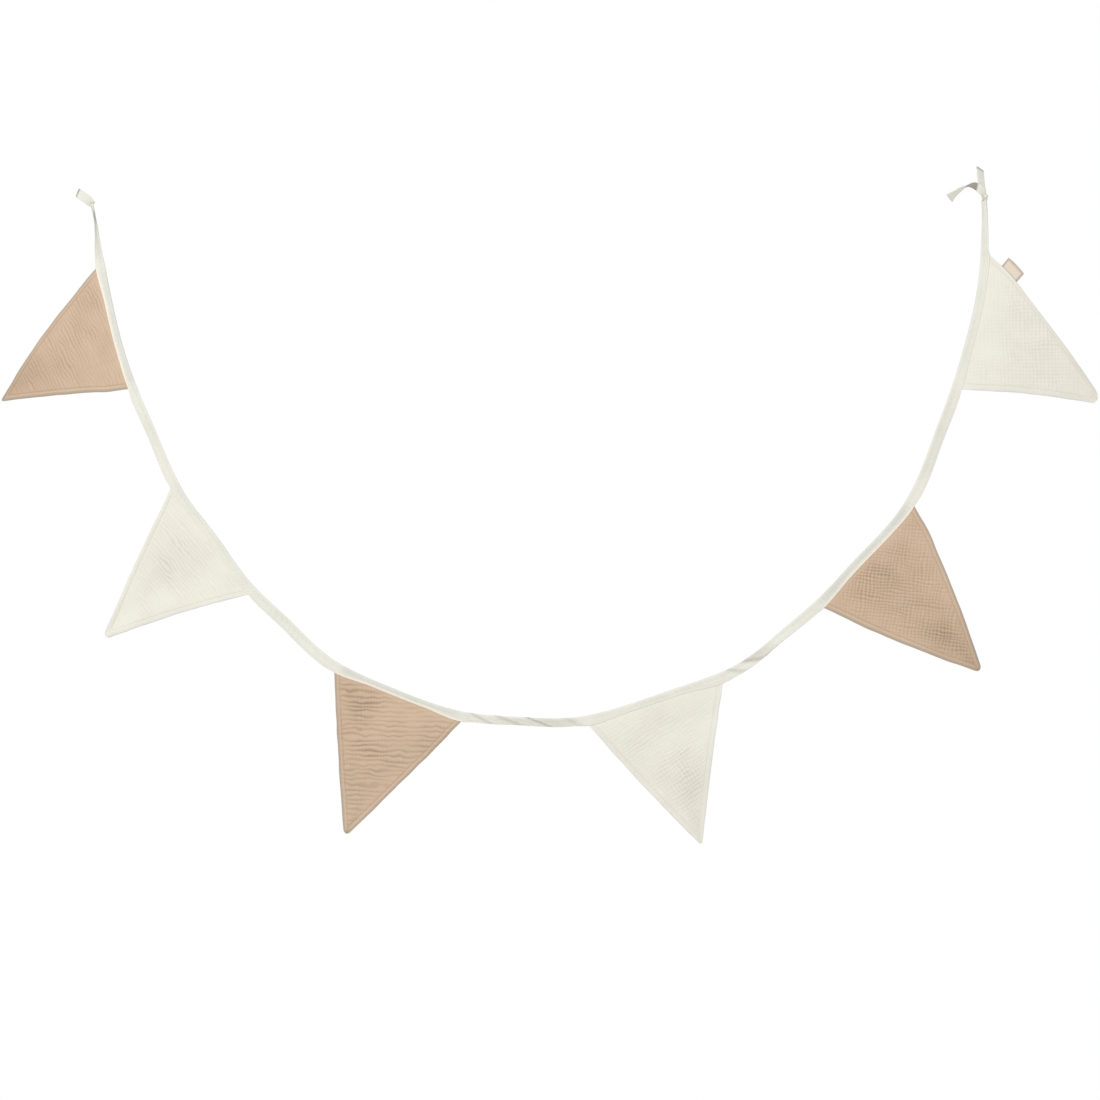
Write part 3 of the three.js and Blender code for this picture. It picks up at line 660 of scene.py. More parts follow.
tape_runs = []
knots_off = KNOT_PINCH_LENGTH / 4
path_s = np.linspace(knots_off, TAPE_LENGTH - knots_off, TAPE_PATH_POINTS)
path_width, path_thickness, _ = tape_form(path_s)
for leaf in (-1.0, 1.0):
    out = leaf * STITCH_SEAT * path_thickness / 2
    path, _ = tape_skin(path_s, path_width - TAPE_STITCH_INSET, out, leaf)
    lifted, _ = tape_skin(path_s, path_width - TAPE_STITCH_INSET, out + leaf * TAPE_THICKNESS, leaf)
    tape_runs.append(stitch_run(path, lifted - path))
tape_thread = thread_paint("cream_thread", THREAD_CREAM, THREAD_CREAM_DEEP)
tape_stitches = stitching("tape_topstitching", tape_runs, tape_thread)
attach(tape_stitches, "root")

# The pennants: two layers of crinkled double gauze, sewn right sides together along the two long sides,
# turned out and topstitched 7 mm in, with their raw top edges caught inside the tape
TAB_TOP = 0.0023
TAB_HALF = 0.0007
WAVE_EASE = 0.35
WAVE_FADE = 0.7
SHOULDER_END = 0.36
JUST_INSIDE = 1e-9
# name, cloth, tip along and below the top edge, lean, sway, swell, shoulder of the second side, how far
# past the rounded tip the sides would meet, and the soft wave with its turns across and down and its phase
PENNANTS = [
    ("pennant_1", "beige", 0.1176, 0.161, 0.014, -0.0027, 0.0021, 0.0016, 0.0027, 0.0022, 0.7, 0.9, 20),
    ("pennant_2", "ivory", 0.0979, 0.1655, -0.005, -0.0024, -0.0008, 0.0, 0.0075, 0.0022, 1.1, 0.6, 125),
    ("pennant_3", "beige", 0.0813, 0.1682, 0.006, 0.0, 0.0009, 0.0, 0.0068, 0.0032, 1.3, 0.4, 320),
    ("pennant_4", "ivory", 0.0821, 0.1643, -0.004, -0.0015, 0.0006, 0.0, 0.003, 0.0028, 0.8, 1.1, 220),
    ("pennant_5", "beige", 0.0628, 0.1756, 0.009, 0.0002, 0.0041, 0.0016, 0.0071, 0.0034, 1.2, 0.7, 100),
    ("pennant_6", "ivory", 0.0236, 0.1524, 0.018, 0.0029, 0.0013, 0.0023, 0.0127, 0.0036, 1.4, 0.5, 120),
]
# How the gauze has crinkled on each pennant: the direction of the crinkles in the front view, how much
# they wander, their pitch and depth, and the pitch and depth of those that cross them
CRINKLES = {
    "pennant_1": (-62.0, 1.0, 0.0041, 0.00045, 0.0040, 0.0001),
    "pennant_2": (-49.0, 1.0, 0.0041, 0.00042, 0.0040, 0.00008),
    "pennant_3": (-2.0, 1.0, 0.0057, 0.0010, 0.0038, 0.00012),
    "pennant_4": (33.0, 0.9, 0.0042, 0.0006, 0.0040, 0.0003),
    "pennant_5": (-8.0, 0.9, 0.0037, 0.0007, 0.0040, 0.0006),
    "pennant_6": (90.0, 0.6, 0.0042, 0.00035, 0.0042, 0.0003),
}
# Where each pennant is most crinkled: place across and down, reach, and strength
CRINKLED_MOST = {
    "pennant_1": [(0.2, 0.14, 0.12, 0.7), (0.45, 0.55, 0.48, 0.55)],
    "pennant_2": [(0.38, 0.32, 0.26, 0.75)],
    "pennant_3": [(0.2, 0.1, 0.14, 0.7), (0.35, 0.52, 0.22, 0.6), (0.9, 0.3, 0.16, 0.3)],
    "pennant_4": [(0.62, 0.62, 0.26, 0.8), (0.3, 0.3, 0.3, 0.15)],
    "pennant_5": [(0.4, 0.17, 0.22, 0.6), (0.8, 0.2, 0.18, 0.25), (0.5, 0.7, 0.26, 0.5)],
    "pennant_6": [(0.8, 0.45, 0.25, 0.5), (0.25, 0.5, 0.3, 0.4)],
}
CRINKLED_ELSEWHERE = {
    "pennant_1": 0.5,
    "pennant_2": 0.34,
    "pennant_3": 0.55,
    "pennant_4": 0.2,
    "pennant_5": 0.36,
    "pennant_6": 0.25,
}
# How much painted shade darkens the crinkled places, and the cloth towards the tip
CRINKLED_SHADE = 0.14
TIP_SHADE = {
    "pennant_1": 0.15,
    "pennant_2": 0.0,
    "pennant_3": 0.0,
    "pennant_4": 0.06,
    "pennant_5": 0.18,
    "pennant_6": 0.06,
}
TIP_SHADE_SPAN = (0.45, 0.95)
# The lines of crinkles bend in two sizes: how much, and the size of a bend along and across them. Their
# strength comes and goes in patches, and a depth of CRINKLE_DEEP or more gives them their full shade.
CRINKLE_BENDS = [(0.42, 0.019, 0.009), (0.22, 0.007, 0.005)]
CRINKLE_CREST = 1.5
CRINKLE_TROUGH = 1.6
CRINKLE_PATCH_SIZE = (0.022, 0.011)
CRINKLE_EVENNESS = 0.65
CRINKLE_DEEP = 0.0008
CRINKLE_SHADE = 0.9
CRINKLE_ORIGIN = 5.0
BACK_SEED = 40
# The crinkles are weaker over the sewn edge and beside the tape
FIELD_INSETS = (0.006, 0.0105)
SEAM_CRINKLES = 0.3
TAPE_CRINKLES = 0.35
TAPE_CRINKLES_END = 0.007
FLUFF_SIZE = 0.0017
FLUFF_DEPTH = 0.00007
# Half thickness at a distance in from the sewn edge: the welt over the seam allowance, the groove of
# the topstitching, and the flatter field
EDGE_INSETS = [0.0, 0.00012, 0.0004, 0.0009, 0.0016, 0.0028, 0.0042, 0.0054, 0.0062, 0.0067]
EDGE_INSETS += [0.007, 0.0073, 0.0078, 0.0086, 0.0102]
EDGE_HALVES = [0.00002, 0.0004, 0.00072, 0.00102, 0.00124, 0.00134, 0.0013, 0.00112, 0.00086, 0.00064]
EDGE_HALVES += [0.00058, 0.00066, 0.00082, 0.00094, 0.001]
THINNEST_HALF = 0.00012
TIP_HALF_SHARE = 0.25
TOPSTITCH_INSET = 0.007
TOPSTITCH_SPAN = (0.012, 0.995)
TOPSTITCH_POINTS = 1200
CELL = 0.00088
LEAST_CELL = 0.00001
TAB_ROWS = [0.0, 0.35, 0.7]
PUCKER_PITCH = 0.0062
PUCKER_DEPTH = 0.00022
PUCKER_AT = 0.006
PUCKER_SPREAD = 0.0024
PUCKER_BEND = 0.6
PUCKER_BEND_LENGTH = 0.012
PUCKER_PATCH_LENGTH = 0.02
EDGE_WOBBLE = 0.00035
EDGE_WOBBLE_LENGTH = 0.013
EDGE_WOBBLE_FROM = 0.6
EDGE_WOBBLE_START = 0.01
GROOVE_SHADE = {"beige": 0.3, "ivory": 0.2}
GROOVE_SPREAD = {"beige": 0.0009, "ivory": 0.0005}
# the rim tone over the sewn edge, painted shade and sheen greying the beige and painted light paling the
# ivory: in from the edge where it rises from its share at the very edge, where it is full, where it starts
# to fade and where it is gone
RIM_BAND = (0.0004, 0.0014, 0.0023, 0.0038)
RIM_AT_EDGE = 0.65
WELT_SHADE = {"beige": 0.0, "ivory": 0.1}
WELT_INSETS = (0.005, 0.0075)
TIP_THINNING = 0.014
GAUZE_PITCH = 0.0009
# each gauze's own colour, and the deep one that painted shade mixes in
BEIGE_PALE = (0.62, 0.462, 0.33, 1.0)
BEIGE_DEEP = (0.30, 0.20, 0.12, 1.0)
IVORY_PALE = (0.805, 0.78, 0.695, 1.0)
IVORY_DEEP = (0.50, 0.45, 0.36, 1.0)
BEIGE_RIM_SHADE_AND_SHEEN = (0.45, 0.37, 0.29, 1.0)
IVORY_RIM_LIGHT = (0.825, 0.81, 0.75, 1.0)
THREAD_BEIGE = (0.66, 0.54, 0.41, 1.0)
THREAD_BEIGE_DEEP = (0.46, 0.36, 0.25, 1.0)


def pennant_form(row, seed):
    # The flat outline of one pennant and the sheet in which it hangs
    name, cloth, along, drop, lean, sway, swell, shoulder, blunt, wave, *ripple = row
    turns_across, turns_down, phase = ripple
    k = STRETCHES.index(name)
    start = STRETCH_START[k]
    length = STRETCH_LENGTH[k]

    def open_edge(u):
        s = start + np.asarray(u, dtype=float) * length
        return tape_point(s, tape_form(s)[0], np.zeros_like(s))

    first, second = open_edge(np.array([JUST_INSIDE, 1.0 - JUST_INSIDE]))
    base = np.linalg.norm(second - first)
    unit = (second - first) / base
    down = np.array([unit[2], 0.0, -unit[0]])
    tip = first + unit * along + down * drop
    tip[1] = lean

    # a circle rounds the tip where the straight sides would run on by `blunt` to meet
    slope = base / 2 / (drop + blunt)
    sine = slope / math.hypot(1.0, slope)
    tip_radius = blunt * sine / (1.0 - sine)

    def half_width(v):
        from_tip = (1.0 - v) * drop
        rounded = np.sqrt(np.maximum(from_tip * (2.0 * tip_radius - from_tip), 0.0))
        straight = from_tip >= tip_radius * (1.0 - sine)
        return np.where(straight, slope * (from_tip + blunt), rounded) + swell * np.sin(np.pi * v)

    def sheet(u, v):
        # The middle of the two layers, `u` across the pennant and `v` from the tape to the tip
        middle = (first + second) / 2 * (1.0 - v)[:, None] + tip * v[:, None]
        middle += unit * (sway * np.sin(np.pi * v))[:, None]
        inner_u = np.clip(u, JUST_INSIDE, 1.0 - JUST_INSIDE)
        sag = open_edge(inner_u) - (first + (second - first) * u[:, None])
        filled = shoulder * np.sin(np.pi * np.minimum(v / SHOULDER_END, 1.0)) ** 2
        sideways = (2.0 * u - 1.0) * half_width(v) + u * filled
        point = middle + unit * sideways[:, None] + sag * (1.0 - v)[:, None]
        roll = np.sin(2.0 * np.pi * (turns_across * u + turns_down * v) + math.radians(phase))
        point[:, 1] = lean * v * v + wave * roll * ease(v, 0.0, WAVE_EASE) * (1.0 - WAVE_FADE * v)
        return point

    return {
        "name": name,
        "cloth": cloth,
        "start": start,
        "length": length,
        "drop": drop,
        "half_width": half_width,
        "sheet": sheet,
        "unit": unit,
        "seed": seed,
    }


def crinkle(along, across, pitch, wander, seed):
    # Wavy lines of crinkles, 1 on their soft crests and 0 in their troughs, and their strength
    bend = 0.0
    for step, (amount, bend_length, bend_width) in enumerate(CRINKLE_BENDS):
        bend = bend + amount * lumps(along / bend_length, across / bend_width, seed + step)
    crest = np.abs(np.sin(np.pi * (across / pitch + wander * bend))) ** CRINKLE_CREST
    patch = lumps(along / CRINKLE_PATCH_SIZE[0], across / CRINKLE_PATCH_SIZE[1], seed + 2)
    return crest, CRINKLE_EVENNESS + (1.0 - CRINKLE_EVENNESS) * patch


def pennant_skin(form, distance, v, side):
    # A point on the front or the back of a pennant, at a distance from its first long side
    name, cloth, seed = form["name"], form["cloth"], form["seed"]
    width = 2.0 * form["half_width"](v)
    from_tip = (1.0 - v) * form["drop"]
    from_top = v * form["drop"]
    inset = np.maximum(np.minimum(np.minimum(distance, width - distance), from_tip), 0.0)
    u = distance / width
    point = form["sheet"](u, v)
    x, z = point[:, 0], point[:, 2]

    # the crinkles, deepest in the busiest places and weak over the sewn edge
    direction, wander, pitch, depth, cross_pitch, cross_depth = CRINKLES[name]
    c, s = math.cos(math.radians(direction)), math.sin(math.radians(direction))
    along = c * x + s * z + CRINKLE_ORIGIN
    across = -s * x + c * z + CRINKLE_ORIGIN
    own = 0 if side < 0 else BACK_SEED
    crest, strength = crinkle(along, across, pitch, wander, seed + own)
    cross_crest, cross_strength = crinkle(across, along, cross_pitch, wander, seed + 5 + own)
    most = sum(
        gain * np.exp(-((u - at_u) ** 2 + (v - at_v) ** 2) / reach**2)
        for at_u, at_v, reach, gain in CRINKLED_MOST[name]
    )
    busy = np.minimum(CRINKLED_ELSEWHERE[name] + most, 1.0)
    strength = strength * busy
    cross_strength = cross_strength * busy
    field = SEAM_CRINKLES + (1.0 - SEAM_CRINKLES) * ease(inset, *FIELD_INSETS)
    field = field * (TAPE_CRINKLES + (1.0 - TAPE_CRINKLES) * ease(from_top, 0.0, TAPE_CRINKLES_END))
    dip = depth * strength * (1.0 - crest) + cross_depth * cross_strength * (1.0 - cross_crest)
    fluff = FLUFF_DEPTH * lumps(x / FLUFF_SIZE, z / FLUFF_SIZE, seed + 9)

    # the half thickness, puckered along the seam and thinner at the tape and at the tip
    sewn_half = np.interp(inset, EDGE_INSETS, EDGE_HALVES)
    seam_bend = lumps(from_top / PUCKER_BEND_LENGTH, u * 2.0, seed + 12)
    seam_run = from_top / PUCKER_PITCH + PUCKER_BEND * seam_bend
    near_seam = np.exp(-(((inset - PUCKER_AT) / PUCKER_SPREAD) ** 2))
    pucker = PUCKER_DEPTH * np.sin(2.0 * np.pi * seam_run) * near_seam
    puckered = pucker * lumps(from_top / PUCKER_PATCH_LENGTH, u * 3.0, seed + 13)
    half = sewn_half + puckered + (fluff - dip) * field
    tip_full = TIP_HALF_SHARE + (1.0 - TIP_HALF_SHARE) * ease(from_tip, 0.0, TIP_THINNING)
    full = ease(from_top, 0.0, WELT_TAPER[1]) * tip_full
    thinned = TAB_HALF + (np.maximum(half, THINNEST_HALF) - TAB_HALF) * full
    half = np.where(inset < EDGE_INSETS[1], sewn_half, thinned)

    # the long sides aren't quite straight
    wobble = EDGE_WOBBLE * lumps(from_top / EDGE_WOBBLE_LENGTH, np.sign(u - 0.5) + 8.0, seed + 15)
    wobble = wobble * ease(np.abs(2.0 * u - 1.0), EDGE_WOBBLE_FROM, 1.0)
    wobble = wobble * ease(from_top, 0.0, EDGE_WOBBLE_START) * np.sign(u - 0.5)
    point = point + form["unit"] * wobble[:, None]
    point[:, 1] += side * half

    # the shade in the crinkles, in the groove of the stitching and over the welt
    hollow = strength * (1.0 - crest) ** CRINKLE_TROUGH * min(1.0, depth / CRINKLE_DEEP)
    cross_hollow = cross_strength * (1.0 - cross_crest) ** CRINKLE_TROUGH
    hollow = hollow + cross_hollow * min(1.0, cross_depth / CRINKLE_DEEP)
    hollow = hollow * field * CRINKLE_SHADE + CRINKLED_SHADE * most
    hollow = hollow + TIP_SHADE[name] * ease(v, *TIP_SHADE_SPAN)
    in_groove = np.exp(-(((inset - TOPSTITCH_INSET) / GROOVE_SPREAD[cloth]) ** 2))
    hollow = hollow + GROOVE_SHADE[cloth] * in_groove
    hollow = hollow + WELT_SHADE[cloth] * (1.0 - ease(inset, *WELT_INSETS))
    return point, hollow


def columns_at(width):
    # Distances across a pennant: crowded over the sewn edges, even over the field
    edge = np.array(EDGE_INSETS)
    if width < 2.0 * edge[-1] + CELL:
        shares = edge / edge[-1] * width / 2
        keep = shares[np.concatenate([[True], np.diff(shares) > LEAST_CELL])]
        return np.concatenate([keep, width - keep[-2::-1]])
    count = max(1, round((width - 2.0 * edge[-1]) / CELL))
    field = np.linspace(edge[-1], width - edge[-1], count + 1)[1:-1]
    return np.concatenate([edge, field, width - edge[::-1]])


def strip_between(upper, lower, shares_upper, shares_lower):
    # Triangles between two rows of points that needn't have as many points each
    order = np.argsort(np.concatenate([shares_upper[1:], shares_lower[1:]]), kind="stable")
    from_upper = order < len(shares_upper) - 1
    i = np.concatenate([[0], np.cumsum(from_upper)[:-1]])
    j = np.concatenate([[0], np.cumsum(~from_upper)[:-1]])
    next_upper = upper[np.minimum(i + 1, len(upper) - 1)]
    next_lower = lower[np.minimum(j + 1, len(lower) - 1)]
    third = np.where(from_upper, next_upper, next_lower)
    return np.stack([upper[i], lower[j], third], axis=1)


def sew_pennant(row, seed, material):
    # Rows of points from the top edge inside the tape to the tip, front and back, closed at the sides
    form = pennant_form(row, seed)
    drop = form["drop"]
    field_inset = EDGE_INSETS[-1]
    rows = []
    top = columns_at(2.0 * form["half_width"](0.0))
    top_width = top[-1]
    s = form["start"] + np.clip(top / top_width, JUST_INSIDE, 1.0 - JUST_INSIDE) * form["length"]
    tape_here = tape_form(s)[0]
    for share in TAB_ROWS:
        across = TAB_TOP + (tape_here - TAB_TOP) * share
        front = tape_point(s, across, np.full_like(s, -TAB_HALF))
        back = tape_point(s, across, np.full_like(s, TAB_HALF))
        flat = np.stack([top, np.full_like(top, (share - 1.0) * TAPE_WIDTH)], axis=1)
        bare = np.zeros_like(top)
        rows.append((top / top_width, front, back, flat, bare, bare, bare))
    count = round((drop - field_inset) / CELL)
    from_tips = np.concatenate([np.linspace(drop, field_inset, count + 1), EDGE_INSETS[-2:0:-1]])
    for from_tip in from_tips:
        v = 1.0 - from_tip / drop
        width = 2.0 * form["half_width"](v)
        distance = columns_at(width)
        level = np.full_like(distance, v)
        front, front_hollow = pennant_skin(form, distance, level, -1.0)
        back, back_hollow = pennant_skin(form, distance, level, 1.0)
        flat = np.stack([distance - width / 2 + top_width / 2, level * drop], axis=1)
        to_rim = np.minimum(np.minimum(distance, width - distance), from_tip)
        edge_in, rim_full, rim_fading, rim_gone = RIM_BAND
        rim = RIM_AT_EDGE + (1.0 - RIM_AT_EDGE) * ease(to_rim, edge_in, rim_full)
        rim = rim * (1.0 - ease(to_rim, rim_fading, rim_gone))
        rows.append((distance / width, front, back, flat, front_hollow, back_hollow, rim))
    shares, fronts, backs, flats, front_hollows, back_hollows, rims = zip(*rows)
    begin = np.concatenate([[0], np.cumsum([len(share) for share in shares])])
    index = [np.arange(begin[k], begin[k + 1]) for k in range(len(rows))]
    strips = [
        strip_between(index[k], index[k + 1], shares[k], shares[k + 1]) for k in range(len(rows) - 1)
    ]
    front_faces = np.vstack(strips)
    back_faces = front_faces[:, ::-1] + begin[-1]
    left = np.array([i[0] for i in index])
    right = np.array([i[-1] for i in index])
    loop = np.concatenate([left, index[-1][1:], right[-2::-1], index[0][-2:0:-1]])
    after = np.roll(loop, -1)
    under, under_after = loop + begin[-1], after + begin[-1]
    closing = [np.stack([after, loop, under], axis=1), np.stack([after, under, under_after], axis=1)]
    faces = np.vstack([front_faces, back_faces] + closing)
    marks = {"hollow": np.concatenate(front_hollows + back_hollows), "rim": np.concatenate(rims + rims)}
    points = np.vstack(fronts + backs)
    piece = cloth_piece(form["name"] + "_gauze", points, faces, np.vstack(flats + flats), marks, material)
    area = 0.0
    for k in range(len(TAB_ROWS), len(rows) - 1):
        area += (flats[k][-1, 0] - flats[k][0, 0]) * (flats[k + 1][0, 1] - flats[k][0, 1])
    return piece, form, area


# The same weave in both cloths, with painted shade and sheen greying the beige and painted light paling
# the ivory where it turns over the sewn edge
GAUZE_WEAVE = {"pitch": GAUZE_PITCH, "slant": 0.0, "relief": 0.22, "sheen": 0.25, "grain": 900.0}
GAUZES = {
    "beige": woven_paint(
        "beige_double_gauze", BEIGE_PALE, BEIGE_DEEP, tones=[("rim", BEIGE_RIM_SHADE_AND_SHEEN)], **GAUZE_WEAVE
    ),
    "ivory": woven_paint(
        "ivory_double_gauze", IVORY_PALE, IVORY_DEEP, tones=[("rim", IVORY_RIM_LIGHT)], **GAUZE_WEAVE
    ),
}
THREADS = {"beige": thread_paint("beige_thread", THREAD_BEIGE, THREAD_BEIGE_DEEP), "ivory": tape_thread}
forms = {}
for number, row in enumerate(PENNANTS):
    name, cloth = row[:2]
    pennant, form, area = sew_pennant(row, 100 * (number + 1), GAUZES[cloth])
    forms[name] = form
    base = 2.0 * float(form["half_width"](0.0))
    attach(pennant, "root")
    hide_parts(name)
    runs = []
    levels = np.linspace(*TOPSTITCH_SPAN, TOPSTITCH_POINTS)
    widths = 2.0 * form["half_width"](levels)
    levels = levels[widths > 2.0 * TOPSTITCH_INSET]
    widths = widths[widths > 2.0 * TOPSTITCH_INSET]
    for side in (-1.0, 1.0):
        outward = np.tile([0.0, side, 0.0], (len(levels), 1))
        for distance in (np.full_like(levels, TOPSTITCH_INSET), widths - TOPSTITCH_INSET):
            path, _ = pennant_skin(form, distance, levels, side)
            runs.append(stitch_run(path, outward))
    sewn = stitching(name + "_topstitching", runs, THREADS[cloth])
    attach(sewn, "root")

# The label: a narrow woven strip folded in half, its two cut ends caught in the upper seam of the last
# pennant and its fold standing clear. It is left bare, with its closer-woven borders darker and painted
# shade at its root in the seam.
LABEL_START = 0.0192
LABEL_LENGTH = 0.0255
LABEL_STAND = 0.012
LABEL_LEAN = (-0.0012, -0.0026)
LABEL_CURL = -0.0024
LABEL_ROOT_GAP = 0.0001
LABEL_LEAF = 0.00034
LABEL_COLUMNS = 90
LABEL_BOW = 0.0005
LABEL_BORDER = (0.0014, 0.0034)
LABEL_BORDER_SHADE = 0.62
LABEL_ROOT_SHADE = 0.25
LABEL_ROOT_SHADE_END = 0.2
SEAM_REACH = 0.6
SEAM_POINTS = 600
LABEL_WEAVE = 0.0005
# the label's colour, and the deep one for its closer-woven borders and the painted shade at its root
LABEL_PALE = (0.73, 0.64, 0.53, 1.0)
LABEL_DEEP = (0.34, 0.29, 0.21, 1.0)
# share of the stand in from the fold, and half thickness there
LABEL_PROFILE = [
    (0.0, 0.0),
    (0.012, 0.0003),
    (0.035, 0.00044),
    (0.08, 0.0005),
    (0.2, 0.00052),
    (0.35, 0.00054),
    (0.5, 0.00054),
    (0.65, 0.00052),
    (0.8, 0.0005),
    (0.92, 0.00048),
    (1.0, 0.00046),
]

side_level = np.linspace(0.0, SEAM_REACH, SEAM_POINTS)
side_line = forms["pennant_6"]["sheet"](np.ones_like(side_level), side_level)
along_seam = np.linspace(0.0, 1.0, LABEL_COLUMNS + 1)
root_at = LABEL_START + LABEL_LENGTH * along_seam
root = read_at(root_at, walked_along(side_line), side_line)
seam_way = np.gradient(root, axis=0)
seam_way /= np.linalg.norm(seam_way, axis=1, keepdims=True)
outward = np.stack([-seam_way[:, 2], np.zeros(len(root)), seam_way[:, 0]], axis=1)
profile = np.array(LABEL_PROFILE)
label_across, label_out, label_leaf, _ = folded_over(
    np.tile(profile[:, 0] * LABEL_STAND, (len(root), 1)),
    np.tile(profile[:, 1], (len(root), 1)),
    LABEL_LEAF,
)
stands = 1.0 - label_across / LABEL_STAND
label_lean = np.interp(along_seam, [0.0, 1.0], LABEL_LEAN)
bowed = LABEL_BOW * lumps(along_seam[:, None] * 3.0, stands * 2.0, 71)
label_points = (
    root[:, None, :]
    + outward[:, None, :] * (LABEL_ROOT_GAP + LABEL_STAND * stands)[..., None]
    + seam_way[:, None, :] * (label_lean[:, None] * stands)[..., None]
)
label_points[..., 1] += LABEL_CURL * stands**2 + label_out + bowed * stands
to_side = np.minimum(along_seam, 1.0 - along_seam)[:, None] * LABEL_LENGTH
from_border = ease(np.minimum(to_side, label_across), *LABEL_BORDER)
label_hollow = LABEL_BORDER_SHADE * (1.0 - from_border)
label_hollow = label_hollow + LABEL_ROOT_SHADE * (1.0 - ease(stands, 0.0, LABEL_ROOT_SHADE_END))
label_along = np.broadcast_to(root_at[:, None], stands.shape)
label_flat = np.stack([label_along, label_across * -label_leaf[None, :]], axis=-1)
label_paint = woven_paint(
    "bare_label", LABEL_PALE, LABEL_DEEP, LABEL_WEAVE, slant=0.0, relief=0.15, sheen=0.1, grain=2200.0
)
label = cloth_piece(
    "bare_label",
    label_points.reshape(-1, 3),
    skin_of_rings(label_points),
    label_flat.reshape(-1, 2),
    {"hollow": label_hollow.ravel()},
    label_paint,
)
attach(label, "root")
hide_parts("label")

# The ties: at each end the tape is drawn together, one turn of it is wrapped tightly over the gathers,
# and the loose end stands out past the knot. Nothing else fastens it.
KNOT_RISE = 0.0086
TIE_THICKNESS = 0.0018
TIE_STATIONS = 24
GATHER_PITCH = 0.0019
GATHER_DEPTH = 0.0005
GATHER_COLUMNS = 45
GATHERED_WIDTHS = (0.0068, 0.0125)
GATHER_BEND = 0.5
GATHER_BEND_SIZE = (0.009, 0.006)
# how much painted shade darkens the gathers on a loose end and on the wrapped turn, and the end's foot
# beside the knot
GATHER_SHADE = 0.12
TURN_GATHERED = 0.25
TURN_SHADE = 0.05
TURN_POINTS = 61
TURN_TUCK = 0.3
TURN_TUCK_ANGLE = 0.8
FOOT_SHADE = 0.05
FOOT_AT = 0.004
FOOT_SPREAD = 0.003
# painted shade at the cut ends, where each end turns edge-on: how far in it reaches, and how deep it is on
# each end
CUT_EDGE = (0.0014, 0.0034)
LEFT_CUT_SHADE = 0.95
RIGHT_CUT_SHADE = 0.7
RIGHT_SIDE_CUT_SHADE = RIGHT_CUT_SHADE / 5
# how much of the side end's turned-under face takes the dark painted shadow colour
RIGHT_SIDE_UNDER_SHADOW = 0.78
SHADE_FADE = 0.003
# where a loose end turns from the light: from and to along it, and how deep its shade is
LEFT_SHADE = (0.004, 0.022, 0.16)
RIGHT_UPPER_SHADE = (0.006, 0.012, 0.1)
RIGHT_SIDE_SHADE = (0.0195, 0.0305, 0.15)
# place from the middle of the knot (X, Y and Z), width, slope of the width in the front view, and its
# roll out of that view
LEFT_LOOSE_END = [
    (0.0004, 0.0, -0.0026, 0.009, 70, 10),
    (-0.0032, -0.001, 0.001, 0.0116, 70, 14),
    (-0.008, -0.0018, 0.0048, 0.012, 69, 16),
    (-0.0136, -0.0016, 0.0088, 0.0118, 69, 14),
    (-0.0194, -0.0004, 0.013, 0.0112, 74, 6),
]
RIGHT_UPPER_END = [
    (0.0012, 0.0012, -0.008, 0.0062, -2, 10),
    (0.0, 0.0014, -0.001, 0.007, -2, 20),
    (-0.0015, 0.001, 0.006, 0.009, -2, 30),
    (-0.0025, 0.0004, 0.013, 0.0106, -2, 36),
    (-0.0031, 0.0, 0.02, 0.0114, -4, 40),
    (-0.0033, -0.0002, 0.0294, 0.0118, -21, 40),
]
RIGHT_SIDE_END = [
    (0.0008, -0.0016, -0.009, 0.0062, 0, 6),
    (-0.0002, -0.0026, -0.0036, 0.007, 16, 8),
    (-0.0034, -0.0034, 0.0018, 0.0088, 44, 12),
    (-0.0089, -0.0042, 0.0066, 0.011, 80, 20),
    (-0.0152, -0.0046, 0.0078, 0.0122, 92, 52),
    (-0.0206, -0.0044, 0.007, 0.0128, 100, 78),
    (-0.0268, -0.0034, 0.0042, 0.0128, 106, 98),
    (-0.033, -0.0018, 0.0, 0.0128, 120, 109),
    (-0.0396, 0.0, -0.005, 0.0128, 138, 138),
]
# the wrapped turn: its place beside and above the knot's middle, its radius across the view and through
# it, its width, tilt and number of turns
LEFT_TURN = (0.0002, 0.0004, 0.0019, 0.0026, 0.0036, 34.0, 1.12)
RIGHT_TURN = (0.0014, -0.0046, 0.0024, 0.003, 0.0044, -28.0, 1.12)


def smooth_rows(rows, count):
    # A Catmull-Rom curve through rows of values, its ends run straight on
    rows = np.array(rows, dtype=float)
    padded = np.vstack([2.0 * rows[0] - rows[1], rows, 2.0 * rows[-1] - rows[-2]])
    place = np.linspace(0.0, len(rows) - 1.0, count)
    k = np.minimum(place.astype(int), len(rows) - 2)
    t = (place - k)[:, None]
    a, b, c, d = (padded[k + step] for step in range(4))
    bend = (2 * a - 5 * b + 4 * c - d) * t**2
    return 0.5 * (2 * b + (c - a) * t + bend + (3 * b - 3 * c + d - a) * t**3)


